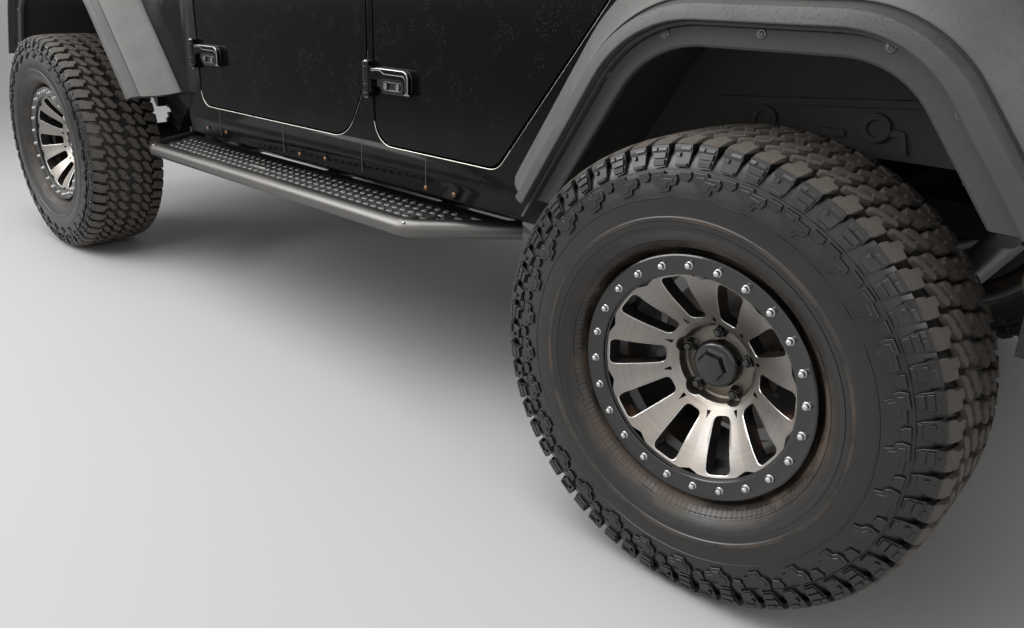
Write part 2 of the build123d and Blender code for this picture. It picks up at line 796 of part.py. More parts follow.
def tub():
    """The lower body: floor, sills, pillars, rear quarters and firewall."""
    low = floor_height - floor_thickness
    wide = body_half_width - 110
    tunnel_y = 150.0
    floor = block(650, cowl_front, -wide, wide, low, floor_height)
    rear_floor = block(
        tub_rear + rear_wall_thickness + 6, 690, -wide - 30, wide + 30, load_floor_height - 25,
        load_floor_height,
    )
    step_up = block(650, 690, -wide, wide, low, load_floor_height)
    firewall = block(
        cowl_front - 30, cowl_front, 70 - body_half_width, body_half_width - 70, floor_height,
        belt_height - 20,
    )
    tunnel = block(cowl_front - 750, cowl_front, -tunnel_y, tunnel_y, low, 340)
    tunnel_space = block(cowl_front - 850, cowl_front + 1, 20 - tunnel_y, tunnel_y - 20, 0, 320)
    cowl_wide = body_half_width - 55
    cowl = block(
        windshield_foot + 26, cowl_front, -cowl_wide, cowl_wide, belt_height - 60, belt_height + 12,
    )
    gate_half = body_half_width - 230
    corner = outline(
        (gate_half, 190, 0), (gate_half + 190, 190, 0), (gate_half + 190, belt_height - 10, 0),
        (gate_half, belt_height - 10, 0),
    )
    back = along_x(corner, tub_rear, tub_rear + rear_wall_thickness) & along_x(
        cab_section(0, 0), tub_rear - 60, 400,
    )
    valance = block(tub_rear, tub_rear + rear_wall_thickness, -gate_half - 30, gate_half + 30, 190, 240)
    whole = floor + rear_floor + step_up + firewall + valance + tunnel + cowl - tunnel_space
    for piece in (tub_side(), wheelhouse_inner(), back):
        whole += piece
        whole += other_side(piece)
    space = arch_prism(REAR_ARCH, arch_gap, wheelhouse_y - 6, body_half_width + 200)
    return whole - space - other_side(space)


def hardtop():
    """The roof with the walls behind the rear doors, open for the side and rear glass."""
    far = body_half_width + 200
    shape = outline(
        (windshield_top - 10, door_top + shut_gap, 0),
        (windshield_top - 30, roof_height + 40, 0),
        (tub_rear + 80, roof_height + 40, 0),
        (tub_rear, belt_height, 0),
        (rear_door_rear - shut_gap, belt_height, 0),
        (rear_door_rear - shut_gap, door_top + shut_gap, 40),
    )
    inner_shape = outline(
        (windshield_top + 100, 0, 0),
        (windshield_top + 100, roof_height + 100, 0),
        (tub_rear + 110, roof_height + 100, 0),
        (tub_rear + 30, belt_height, 0),
        (tub_rear + 30, 0, 0),
    )
    solid = along_x(cab_section(0, 0), tub_rear - 60, windshield_foot + 200) & along_y(shape, -far, far)
    hollow = along_x(
        cab_section(door_thickness, window_frame_thickness), tub_rear - 100, windshield_foot + 300,
    )
    hollow &= along_y(inner_shape, -far, far)
    return solid - hollow - along_y(quarter_window(0), -far, far) - rear_window(0)


def quarter_window(shrink):
    """The side opening behind the rear door."""
    low = belt_height + 60 + shrink
    high = door_top - 48 - shrink
    return outline(
        (rear_door_rear - 60 - shrink, low, 30), (rear_door_rear - 60 - shrink, high, 30),
        (tub_rear + 140 + shrink, high, 30), (tub_rear + 90 + shrink, low, 30),
    )


def rear_window(shrink):
    """The opening in the hardtop's rear wall."""
    low = belt_height + 50 + shrink
    high = door_top - 60 - shrink
    wide = body_half_width - 210 - shrink
    face = outline((wide, low, 30), (wide - 50, high, 30), (50 - wide, high, 30), (-wide, low, 30))
    return along_x(face, tub_rear - 80, tub_rear + 160)


def windshield_frame():
    """The slanted frame that holds the windshield."""
    far = body_half_width + 200
    shape = outline(
        (windshield_foot + 22, belt_height, 0),
        (windshield_top + 10, door_top + shut_gap, 0),
        (windshield_top - 34, roof_height + 40, 0),
        (windshield_top - 74, roof_height + 40, 0),
        (windshield_top - 40, door_top + shut_gap, 0),
        (windshield_foot - 60, belt_height, 0),
    )
    slab = along_x(
        cab_section(0, 0), windshield_top - 300, windshield_foot + 215,
    ) & along_y(shape, -far, far)
    slab -= along_y(front_door_outline(shut_gap), -far, far)
    slab -= block(
        windshield_top - 800, windshield_top - 8, -far, far, door_top + shut_gap - 40, roof_height + 200,
    )
    return slab - windshield_opening(0)


def windshield_opening(shrink):
    """The windshield's opening, cut level through the slanted frame."""
    low = cowl_height + 30 + shrink
    high = door_top - 30 - shrink
    wide = body_half_width - 110 - shrink
    face = outline((wide, low, 40), (wide - 58, high, 50), (58 - wide, high, 50), (-wide, low, 40))
    return along_x(face, windshield_top - 300, windshield_foot + 215)


def cab_glass():
    """The windshield, the two quarter windows and the rear window."""
    far = body_half_width + 200
    inset = skin_low - 2
    quarter = cab_band(inset, skin_high, inset + glass_thickness, skin_high + glass_thickness)
    quarter &= left_half(quarter_window(seat_gap))
    foot = windshield_foot - 14
    top = windshield_top - 4
    level_thickness = glass_thickness * 1.2
    pane = outline(
        (foot, belt_height, 0), (top, door_top, 0), (top - level_thickness, door_top, 0),
        (foot - level_thickness, belt_height, 0),
    )
    windshield = along_y(pane, -far, far) & windshield_opening(seat_gap)
    rear_foot = tub_rear + 12
    rear_top = rear_foot + 80
    rear_pane = outline(
        (rear_foot, belt_height, 0), (rear_foot + glass_thickness, belt_height, 0),
        (rear_top + glass_thickness, roof_height, 0), (rear_top, roof_height, 0),
    )
    rear = along_y(rear_pane, -far, far) & rear_window(seat_gap)
    return [quarter, other_side(quarter), windshield, rear]


# Doors

def strap_plan(front_edge, height):
    """The strap's plate: a neck at the barrel that widens to a rounded pad."""
    top, bottom = height + hinge_half_height, height - hinge_half_height
    return outline(
        (front_edge - 4, top - 4, 0), (front_edge - 34, top, 10), (front_edge - 160, top, 24),
        (front_edge - 160, bottom, 20), (front_edge - 44, bottom, 12),
        (front_edge - 30, bottom + 16, 8), (front_edge - 4, bottom + 16, 0),
    )


def strap_rib(front_edge, height):
    """The raised rib along the strap's top, which turns down at its far end."""
    top, bottom = height + hinge_half_height - 3, height - hinge_half_height + 4
    return outline(
        (front_edge - 4, top - 3, 0), (front_edge - 34, top, 10), (front_edge - 157, top, 21),
        (front_edge - 157, bottom, 8), (front_edge - 138, bottom, 8),
        (front_edge - 138, height + 8, 12), (front_edge - 40, height + 8, 8),
        (front_edge - 30, height + 2, 8), (front_edge - 4, height + 2, 0),
    )


def strap_hinges(front_edge):
    """The door's halves of its two outside strap hinges: plate, rib, two bolt heads and barrel."""
    pieces = []
    axis_x = front_edge + 14
    for height in hinge_heights:
        z0, z1 = height - hinge_half_height, height + hinge_half_height
        strap = along_y(strap_plan(front_edge, height), body_half_width, body_half_width + 9)
        strap += along_y(strap_rib(front_edge, height), body_half_width, hinge_y + 4)
        for offset in (60, 108):
            strap += pin_along_y(front_edge - offset, body_half_width + 6, height - 12, 9, 12)
        link_plate = block(front_edge - 10, axis_x, hinge_y - 9, hinge_y + 4, z0, z1)
        barrel = Pos(axis_x, hinge_y, height) * Cylinder(hinge_barrel_radius, z1 - z0)
        bore = Pos(axis_x, hinge_y, height) * Cylinder(hinge_pin_radius + running_gap, z1 - z0 + 22)
        pieces.append(strap + link_plate + barrel - bore)
    return pieces


def pillar_hinges(front_edge):
    """The body's halves: a foot on the pillar, two knuckles and the pin."""
    pieces = []
    x = front_edge + 14
    knuckle_height = 12.0
    for height in hinge_heights:
        part = Pos(x, hinge_y, height) * Cylinder(hinge_pin_radius, 2 * hinge_half_height + 28)
        for side in (1, -1):
            z0, z1 = sorted((
                height + side * (hinge_half_height + 0.5),
                height + side * (hinge_half_height + 0.5 + knuckle_height),
            ))
            part += Pos(x, hinge_y, (z0 + z1) / 2) * Cylinder(hinge_barrel_radius, knuckle_height)
            part += block(x - 6, x + 8, body_half_width - 2, hinge_y, z0, z1)
        pieces.append(part)
    return pieces


def door_piece(shape, window):
    """One left door: a skin with its edge all round, and a smaller inner shell behind it."""
    skin = cab_band(0, 0, skin_low, skin_high) & left_half(shape(0))
    inner = cab_band(skin_low, skin_high, door_thickness, window_frame_thickness)
    inner &= left_half(shape(-inner_step))
    return skin + inner - left_half(window)


def door_handle(rear, height):
    """A bowed grip over a shallow pocket: the grip to add and the pocket to cut."""
    out = body_half_width
    bow = outline(
        (rear, out - 12, 0), (rear + 14, out + 27, 14), (rear + 136, out + 27, 14),
        (rear + 150, out - 12, 0), (rear + 136, out - 12, 0), (rear + 122, out + 13, 8),
        (rear + 28, out + 13, 8), (rear + 14, out - 12, 0),
    )
    grip = along_z(bow, height, height + 24)
    pocket = outline(
        (rear + 22, height - 20, 18), (rear + 128, height - 20, 18), (rear + 128, height + 42, 18),
        (rear + 22, height + 42, 18),
    )
    return grip, along_y(pocket, out - skin_low + 8, out + 40)


def mirror_housing():
    """The outside mirror on its arm."""
    rear = front_door_front - 176
    out = body_half_width
    arm = block(rear + 10, rear + 60, out - 30, out + 80, belt_height - 10, belt_height + 30)
    shell = outline(
        (rear, belt_height + 18, 20), (rear + 90, belt_height + 28, 30),
        (rear + 75, belt_height + 228, 30), (rear + 5, belt_height + 218, 20),
    )
    return arm + along_y(shell, out + 50, out + 250)


def doors():
    """Four doors with their glass; each mirror goes with its front door."""
    # (name, outline, window, pane, front edge, handle's rear end)
    layouts = (
        (
            "front", front_door_outline, front_window_outline(), front_window_outline(seat_gap),
            front_door_front, front_door_rear + 70,
        ),
        (
            "rear", rear_door_outline, rear_window_outline(), rear_window_outline(seat_gap),
            rear_door_front, rear_door_rear + REAR_ARCH["fore"][0] - 535,
        ),
    )
    band = cab_band(
        skin_low - 4, skin_high + 2, skin_low - 4 + glass_thickness, skin_high + 2 + glass_thickness,
    )
    for name, shape, window, pane, front_edge, handle_rear in layouts:
        grip, pocket = door_handle(handle_rear, belt_height - 142)
        door = door_piece(shape, window) - pocket + grip
        for hinge in strap_hinges(front_edge):
            door += hinge
        if name == "front":
            door += mirror_housing()
        glass = band & left_half(pane)
        publish(f"{name}_door_left", door)
        publish(f"{name}_door_right", other_side(door))
        publish(f"{name}_door_glass_left", glass)
        publish(f"{name}_door_glass_right", other_side(glass))


# Front end

def fenders():
    """The painted panels beside the engine, which narrow towards the grille."""
    thickness = 40.0
    plan = outline(
        (cowl_front, body_half_width, 0), (cowl_front, body_half_width - thickness, 0),
        (fender_front, fender_nose_y - thickness, 0), (fender_front, fender_nose_y, 0),
        (wheelbase - 588, body_half_width, 300),
    )
    side = outline(
        (cowl_front, 235, 0), (cowl_front, belt_height - 32, 0), (fender_front, belt_height - 96, 0),
        (fender_front, 300, 0), (wheelbase - 108, 100, 0), (cowl_front + 150, 100, 0),
    )
    panel = along_z(plan, 0, belt_height + 68) & left_half(side)
    return panel - arch_prism(FRONT_ARCH, arch_gap, body_half_width / 2, body_half_width + 200)


def hood():
    """The hood: a crowned lid that narrows towards the grille, with a raised middle."""
    def section(station, half, edge, crown):
        plane = Plane((station, 0, 0), x_dir=(0, 1, 0), z_dir=(1, 0, 0))
        face = outline(
            (half, edge, 0), (half, edge + 30, 25), (0, crown, 3000), (-half, edge + 30, 25),
            (-half, edge, 0),
        )
        return plane * face
    skin = 28.0
    rear, front = cowl_front + 22, fender_front - 8
    rear_edge, front_edge = belt_height - 26, belt_height - 90
    outer = loft([
        section(rear, body_half_width - 10, rear_edge, rear_edge + 56),
        section(front, fender_nose_y - 10, front_edge, front_edge + 54),
    ])
    inner = loft([
        section(rear - 1, body_half_width - 10 - skin, rear_edge - 16, rear_edge + 30),
        section(front - 20, fender_nose_y - 10 - skin, front_edge - 16, front_edge + 28),
    ])
    bulge_plan = outline(
        (rear + 150, 330, 60), (front - 250, 250, 60), (front - 250, -250, 60), (rear + 150, -330, 60),
    )
    bulge_side = outline(
        (rear + 150, rear_edge + 20, 0), (rear + 150, rear_edge + 62, 0),
        (rear + 210, rear_edge + 72, 0), (front - 310, front_edge + 76, 0),
        (front - 250, front_edge + 58, 0), (front - 250, front_edge + 30, 0),
    )
    bulge = along_z(bulge_plan, front_edge, rear_edge + 120) & along_y(bulge_side, -400, 400)
    return outer + bulge - inner


def grille():
    """The upright front panel with round lamp holes, a field of level openings and a lower chin."""
    wide = fender_nose_y - 5
    front = fender_front + 50
    face = outline(
        (wide, 330, 40), (wide, belt_height - 132, 60), (0, belt_height - 62, 4000),
        (-wide, belt_height - 132, 60), (-wide, 330, 40),
    )
    panel = along_x(face, fender_front + seat_gap, front)
    for side in (1, -1):
        panel += Pos(front, side * lamp_y, lamp_height) * Rot(0, 90, 0) * Cylinder(lamp_radius + 14, 20)
        panel -= Pos(front, side * lamp_y, lamp_height) * Rot(0, 90, 0) * Cylinder(lamp_radius, 200)
    slot_height = 34.0
    for row in range(5):
        z = 420 + row * 56
        slot = outline((350, z, 14), (350, z + slot_height, 14), (-350, z + slot_height, 14), (-350, z, 14))
        panel -= along_x(slot, fender_front - 80, front + 70)
    return panel


def head_lamps():
    """The two round head lamps, seated in the grille."""
    lamp = Pos(fender_front + 28, lamp_y, lamp_height) * Rot(0, 90, 0) * Cylinder(
        lamp_radius - seat_gap, 56,
    )
    return both_sides(lamp)


def tail_lamps():
    """The two upright tail lamps on the rear corners."""
    outer = body_half_width - 40
    plan = outline(
        (tub_rear - seat_gap, outer - 120, 0), (tub_rear - 45, outer - 120, 12),
        (tub_rear - 45, outer, 20), (tub_rear - seat_gap, outer, 0),
    )
    return both_sides(along_z(plan, belt_height - 332, belt_height - 92))


def front_bumper():
    """The stub-ended steel bumper on the frame's horns, with lamp pockets, skid bar and recovery eyes."""
    face = front_face - 40
    root = frame_front + seat_gap
    plan = outline(
        (root, 640, 0), (face - 10, 560, 30), (face, 0, 0), (face - 10, -560, 30), (root, -640, 0),
    )
    bumper = along_z(plan, 110, 290)
    skid = outline((root, 112, 0), (face - 30, 112, 0), (root + 20, 30, 0), (root, 30, 0))
    bumper += along_y(skid, -260, 260)
    plate = outline(
        (face - 30, eye_height - 35, 0), (front_face, eye_height - 35, 30),
        (front_face, eye_height + 35, 30), (face - 30, eye_height + 35, 0),
    )
    for y in (eye_y, -eye_y):
        bumper += along_y(plate, y - 10, y + 10)
        bumper -= pin_along_y(front_face - 32, y, eye_height, eye_radius, 40)
        bumper -= Pos(face, y * 1.36, eye_height) * Rot(0, 90, 0) * Cylinder(42, 60)
    return bumper


def rear_bumper():
    """The rear bumper, whose wings turn round to the rear flares."""
    rear = tub_rear - 150
    wing_y = flare_reach - 37
    front = -(REAR_ARCH["aft"][0] - 233)
    inner = body_half_width - 20
    beam = block(rear, tub_rear + 8, -inner, inner, 60, 180)
    wing = outline(
        (rear, inner, 0), (rear, body_half_width + 60, 60), (rear + 90, wing_y, 60), (front, wing_y, 0),
        (front, wing_y - 90, 0), (tub_rear - 20, wing_y - 90, 0), (tub_rear - 20, inner, 0),
    )
    side = along_z(wing, 180, load_floor_height)
    side += along_z(wing, 60, 180) & block(rear - 50, tub_rear + 140, inner - 80, wing_y + 95, 0, 400)
    horn = block(tub_rear, tub_rear + 40 - seat_gap, rail_y - 30, rail_y + 30, 80, 170)
    tread = outline(
        (rear + 20, 330, 20), (tub_rear - 12, 330, 0), (tub_rear - 12, -330, 0), (rear + 20, -330, 20),
    )
    return beam + side + other_side(side) + horn + other_side(horn) + along_z(tread, 180, 184)


# Fender flares, liners and steps: (aft foot, fore foot) heights of each

rear_flare_feet = (350.0, 235.0)
front_flare_feet = (251.0, 330.0)
rear_liner_feet = (352.0, 200.0)
front_liner_feet = (250.0, 300.0)


def without_feet(shape, arch, feet):
    """A piece along an arch, cut off level at its aft and fore feet."""
    aft_foot, fore_foot = feet
    station, far = arch["station"], body_half_width + 300
    shape -= block(station, station + 1500, 400, far, -300, fore_foot)
    return shape - block(station - 1500, station, 400, far, -300, aft_foot)


def flare(arch, feet, root):
    """One left fender flare: a skin sloped from the body out to a shoulder, and a turned lip below it."""
    # (reach of the section, growth from the lip's edge)
    body_side = body_half_width + seat_gap
    rows = ((body_side, flare_rise), (flare_reach - 37, 44.0), (flare_reach - 10, 26.0), (flare_reach, 2.0))
    faces = []
    for reach, grow in rows:
        plane = Plane((0, reach, 0), x_dir=(1, 0, 0), z_dir=(0, -1, 0))
        faces.append(plane * arch_outline(arch, grow))
    outer = loft(faces[:2]) + loft(faces[1:3]) + loft(faces[2:])
    if root < body_side:
        outer += arch_prism(arch, flare_rise, root, body_side)
    outer -= arch_prism(arch, 0, body_half_width - 300, body_half_width + 300)
    return without_feet(outer, arch, feet)


def front_flare():
    """The left front flare, which reaches in to the fender where that narrows."""
    whole = flare(FRONT_ARCH, front_flare_feet, fender_nose_y + 5)
    reach = body_half_width + seat_gap
    nose = fender_front + 80
    fender_side = outline(
        (cowl_front - 150, 0, 0), (cowl_front - 150, reach, 0), (wheelbase - 583, reach, 300),
        (nose, fender_nose_y - 11 + seat_gap, 0), (nose, 0, 0),
    )
    return whole - along_z(fender_side, -100, belt_height + 68)


def liner(arch, inner_y, feet):
    """One left wheel liner: an arched shell with its inner wall."""
    shell = arch_prism(arch, -1, inner_y, liner_reach) - arch_prism(arch, -7, inner_y + 6, liner_reach + 1)
    return without_feet(shell, arch, feet)


def rear_liner():
    """The left rear liner, with the presses on its inner wall and the arched edge below them."""
    shell = liner(REAR_ARCH, wheelhouse_y, rear_liner_feet)
    wall = wheelhouse_y + 5
    line = REAR_ARCH["top"] - 205
    bead = outline((205, line + 30, 6), (205, line + 44, 6), (-225, line + 77, 6), (-225, line + 63, 6))
    shell += along_y(bead, wall, wall + 9)
    dimple = outline((-18, line - 7, 6), (-18, line + 7, 6), (-70, line + 7, 6), (-70, line - 7, 6))
    shell += along_y(dimple, wall, wall + 6)
    for station, height in ((93, line + 8), (-126, line + 18)):
        shell += pin_along_y(station, wall + 6, height, 27, 12)
        shell -= pin_along_y(station, wall + 14, height, 16, 16)
    hook = outline(
        (-140, line + 18, 0), (-178, line + 18, 8), (-188, line - 24, 0), (-176, line - 24, 0),
        (-166, line + 5, 5), (-140, line + 5, 0),
    )
    shell += along_y(hook, wall, wall + 9)
    edge = outline(
        (240, 150, 0), (240, line - 62, 0), (60, line - 38, 180), (-285, line - 38, 20), (-285, 150, 0),
    )
    return shell - along_y(edge, wheelhouse_y - 10, wheelhouse_y + 30)


def front_liner():
    """The left front liner, which ends at the grille."""
    shell = liner(FRONT_ARCH, wheelhouse_y - 122, front_liner_feet)
    return shell - block(
        fender_front - 10, fender_front + 600, 400, body_half_width + 300, -300, belt_height + 68,
    )


def side_step():
    """The left step: an outer tube that turns in at both ends, its tread plate and three brackets."""
    z = step_height
    out = body_half_width + 68
    inner = body_half_width - 140
    rear, front = 690.0, cowl_front + 210
    path = ((rear, inner, z), (rear + 210, out, z), (front - 110, out, z), (front, inner, z))
    tube = bent_pipe(path, 60, step_tube_radius)
    plate = along_z(
        outline(
            (rear + 215, out - 8, 0), (front - 115, out - 8, 0), (front - 30, inner + 30, 0),
            (rear + 45, inner + 30, 0),
        ),
        z + 4, z + 14,
    )
    root = rail_y + rail_width / 2 + seat_gap
    for share in (0.19, 0.52, 0.85):
        station = rear + (front - rear) * share
        plate += block(station - 30, station + 30, root, out - 18, z - 20, z + 8)
    return tube + plate


# Tailgate

def tailgate():
    """The side-hinged tailgate with the spare wheel's bracket."""
    wide = body_half_width - 238
    top = belt_height - 8
    face = outline((wide, 246, 20), (wide, top, 20), (-wide, top, 20), (-wide, 246, 20))
    gate = along_x(face, tub_rear, tub_rear + rear_wall_thickness)
    frame_face = outline(
        (wide - 60, 300, 40), (wide - 60, top - 60, 40), (60 - wide, top - 60, 40), (60 - wide, 300, 40),
    )
    gate -= along_x(frame_face, tub_rear - 1, tub_rear + 6)
    back = -rear_overhang + tyre_width / 2 - mounting_face
    plate_height = belt_height - gate_plate_drop
    gate += rod((tub_rear - 5, 0, spare_height), (back + seat_gap, 0, spare_height), 75)
    gate += block(tub_rear - 10, tub_rear + 8, -160, 160, plate_height - 110, plate_height + 110)
    axis_y = gate_axis_y
    for height in gate_hinge_heights:
        z0, z1 = height - 30, height + 30
        gate += block(tub_rear - 12, tub_rear, axis_y + 8, axis_y + 160, z0, z1)
        gate += block(gate_axis_x - 5, tub_rear - 4, axis_y, axis_y + 20, z0, z1)
        gate += Pos(gate_axis_x, axis_y, height) * Cylinder(hinge_barrel_radius, 60)
        gate -= Pos(gate_axis_x, axis_y, height) * Cylinder(hinge_pin_radius + running_gap, 90)
    return gate


def gate_pillar_hinges():
    """The tub's halves of the tailgate's hinges, on its right rear corner."""
    pieces = []
    for height in gate_hinge_heights:
        part = Pos(gate_axis_x, gate_axis_y, height) * Cylinder(hinge_pin_radius, 90)
        for side in (1, -1):
            z0, z1 = sorted((height + side * 30.5, height + side * 42.5))
            part += Pos(gate_axis_x, gate_axis_y, (z0 + z1) / 2) * Cylinder(hinge_barrel_radius, 12)
            part += block(gate_axis_x, tub_rear + 2, gate_axis_y - 12, gate_axis_y, z0, z1)
        pieces.append(part)
    return pieces


def hood_hinge_leaves():
    """The hood's halves of its two outside hinges at the cowl."""
    pieces = []
    for y in (hood_hinge_y, -hood_hinge_y):
        leaf = block(cowl_front + 30, cowl_front + 110, y - 25, y + 25, belt_height + 3, hood_axis_z - 4)
        leaf += block(hood_axis_x, cowl_front + 60, y - 25, y + 25, hood_axis_z - 6, hood_axis_z + 6)
        leaf += pin_along_y(hood_axis_x, y, hood_axis_z, 9, 50)
        pieces.append(leaf - pin_along_y(hood_axis_x, y, hood_axis_z, 4 + running_gap, 80))
    return pieces


def hood_hinge_feet():
    """The tub's halves: two lugs on each side of the barrel, a foot and the pin."""
    pieces = []
    for y in (hood_hinge_y, -hood_hinge_y):
        part = pin_along_y(hood_axis_x, y, hood_axis_z, 4, 74)
        for side in (1, -1):
            y0, y1 = sorted((y + side * 25.5, y + side * 37))
            part += pin_along_y(hood_axis_x, (y0 + y1) / 2, hood_axis_z, 9, y1 - y0)
            part += block(hood_axis_x - 9, hood_axis_x + 9, y0, y1, belt_height, hood_axis_z)
        pieces.append(part)
    return pieces


# Cabin

seat_y = 395.0
dash_low = belt_height - 312


def dash_outline(grow=0.0):
    """The dashboard seen from the side."""
    front = cowl_front - 30 - seat_gap
    rear = cowl_front - 300 - grow
    return outline(
        (rear, dash_low, 40), (front, dash_low, 0), (front, dash_low + 220, 0),
        (rear + 30, dash_low + 270, 60),
    )


def seats():
    """Two front seats and the rear bench, as plain soft solids on their bases."""
    pieces = []
    seat_top = floor_height + 260
    base_top = floor_height + 100
    cushion_front = cowl_front - 320
    cushion_rear = cushion_front - 500
    back_top = floor_height + 850
    front_back = outline(
        (cushion_rear - 130, seat_top - 130, 0), (cushion_rear - seat_gap, seat_top - 130, 0),
        (cushion_rear - seat_gap, seat_top, 0), (cushion_rear - 100, back_top, 40),
        (cushion_rear - 220, back_top, 40),
    )
    for y in (seat_y, -seat_y):
        base = block(
            cushion_rear + 50, cushion_front - 50, y - 200, y + 200, floor_height + seat_gap,
            base_top - seat_gap,
        )
        cushion = block(cushion_rear, cushion_front, y - 230, y + 230, base_top, seat_top)
        pieces += [base, cushion, along_y(front_back, y - 230, y + 230)]
    low = load_floor_height + seat_gap
    bench_back = outline((400, low + 55, 0), (520, low + 55, 0), (440, 1020, 40), (330, 1020, 40))
    bench = outline(
        (520 + seat_gap, low, 0), (960, low, 0), (960, low + 155, 0), (508 + seat_gap, low + 155, 0),
    )
    half = body_half_width - 240
    return pieces + [along_y(bench, -half, half), along_y(bench_back, -half, half)]


def steering_wheel():
    """A three-spoke wheel on its column, which seats against the dashboard."""
    lean = 69.0
    radius = 185.0
    centre = (cowl_front - 510, seat_y, dash_low + 200)
    section = outline(
        (radius - 14, -6, 0), (radius - 6, -14, 0), (radius + 8, -12, 0), (radius + 14, 0, 0),
        (radius + 8, 12, 0), (radius - 6, 14, 0), (radius - 14, 6, 0),
    )
    wheel = revolve(Plane.XZ * section, axis=Axis.Z)
    wheel += Pos(0, 0, -12) * Cylinder(52, 44)
    for turn in (0, 180, 270):
        wheel += Rot(0, 0, turn) * (Pos(radius / 2, 0, -8) * Box(radius, 26, 10))
    column = Pos(0, 0, -180) * Cylinder(30, 320)
    placed = Pos(*centre) * Rot(0, -lean, 0) * Rot(0, 0, 90) * (wheel + column)
    keep = block(
        centre[0] - 400, cowl_front - 260, seat_y - 300, seat_y + 300, dash_low - 200, dash_low + 500,
    )
    return (placed & keep) - along_y(dash_outline(seat_gap), seat_y - 100, seat_y + 100)


def console():
    """The box between the front seats, on the tunnel."""
    top = 340 + seat_gap
    shape = outline(
        (cowl_front - 700, top, 0), (cowl_front - 40, top, 0), (cowl_front - 40, top + 60, 0),
        (cowl_front - 420, top + 60, 20), (cowl_front - 460, top + 160, 30),
        (cowl_front - 700, top + 160, 30),
    )
    return along_y(shape, -110, 110) - along_y(dash_outline(2), -400, 400)


def main():
    """Makes and writes every piece."""
    os.makedirs("parts", exist_ok=True)
    wheels()
    left_knuckle = knuckle()
    publish("front_axle", front_axle())
    publish("rear_axle", rear_axle())
    publish("knuckle_left", left_knuckle)
    publish("knuckle_right", other_side(left_knuckle))
    publish("tie_rod", tie_rod())
    publish("control_links", *control_links())
    publish("dampers", *dampers())
    publish("coil_springs", *springs())
    publish("driveshafts", *driveshafts())
    publish("frame", frame())
    publish("engine", engine())
    publish("exhaust", exhaust())
    publish("fuel_tank", fuel_tank())
    body = tub()
    for front_edge in (front_door_front, rear_door_front):
        for hinge in pillar_hinges(front_edge):
            body += hinge
            body += other_side(hinge)
    for hinge in gate_pillar_hinges() + hood_hinge_feet():
        body += hinge
    publish("body_tub", body)
    publish("hardtop", hardtop())
    publish("windshield_frame", windshield_frame())
    publish("cab_glass", *cab_glass())
    doors()
    publish("front_fenders", *both_sides(fenders()))
    lid = hood()
    for leaf in hood_hinge_leaves():
        lid += leaf
    publish("hood", lid)
    publish("grille", grille())
    publish("head_lamps", *head_lamps())
    publish("tail_lamps", *tail_lamps())
    publish("front_bumper", front_bumper())
    publish("rear_bumper", rear_bumper())
    rear_flare = flare(REAR_ARCH, rear_flare_feet, body_half_width + seat_gap)
    publish("fender_flares", *both_sides(rear_flare), *both_sides(front_flare()))
    publish("wheel_liners", *both_sides(rear_liner()), *both_sides(front_liner()))
    publish("side_steps", *both_sides(side_step()))
    publish("tailgate", tailgate())
    publish("seats", *seats())
    publish("dashboard", along_y(dash_outline(), 160 - body_half_width, body_half_width - 160))
    publish("steering_wheel", steering_wheel())
    publish("console", console())


if __name__ == "__main__":
    main()
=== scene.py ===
"""Looks of the lifted four-door off-road 4x4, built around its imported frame, in metres."""
import logging
import math
from abc import ABC, abstractmethod
from dataclasses import dataclass, field
from enum import Enum
from typing import Callable, Iterable, Sequence

import bmesh
import bpy
from mathutils import Matrix, Vector


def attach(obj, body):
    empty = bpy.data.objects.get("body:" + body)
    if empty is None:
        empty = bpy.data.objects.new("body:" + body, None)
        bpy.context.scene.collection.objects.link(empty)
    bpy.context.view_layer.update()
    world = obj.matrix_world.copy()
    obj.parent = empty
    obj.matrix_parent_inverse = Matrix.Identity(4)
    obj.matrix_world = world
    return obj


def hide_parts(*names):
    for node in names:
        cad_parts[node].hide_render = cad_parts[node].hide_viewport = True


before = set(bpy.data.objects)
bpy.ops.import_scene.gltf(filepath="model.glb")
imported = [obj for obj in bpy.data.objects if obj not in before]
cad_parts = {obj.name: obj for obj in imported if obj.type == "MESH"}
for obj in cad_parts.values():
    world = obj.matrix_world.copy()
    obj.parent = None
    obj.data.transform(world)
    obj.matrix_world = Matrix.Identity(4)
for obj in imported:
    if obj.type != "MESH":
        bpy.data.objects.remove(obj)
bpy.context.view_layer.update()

log = logging.getLogger("off_road_4x4")

Point = tuple[float, float, float]
Pair = tuple[float, float]
Colour = tuple[float, float, float]

WHEELBASE = 3.008
MID_STATION = 1.314
AXLE_HEIGHT = 0.440
WHEEL_Y = 0.855
BODY_SIDE = 0.800
CAR = Matrix.Translation((-MID_STATION, 0.0, AXLE_HEIGHT))
SPARE_CENTRE = (-1.080 + 0.159 - MID_STATION, 0.0, 0.690 + AXLE_HEIGHT)


class Side(Enum):
    """The vehicle's two sides, as the sign of y."""

    LEFT = 1
    RIGHT = -1

    @property
    def word(self) -> str:
        """The side's name inside a node or body name."""
        return self.name.lower()


class End(Enum):
    """The two axles, as stations forward of the rear one."""

    REAR = 0.0
    FRONT = WHEELBASE

    @property
    def word(self) -> str:
        """The axle's name inside a node or body name."""
        return self.name.lower()


# Shader tools


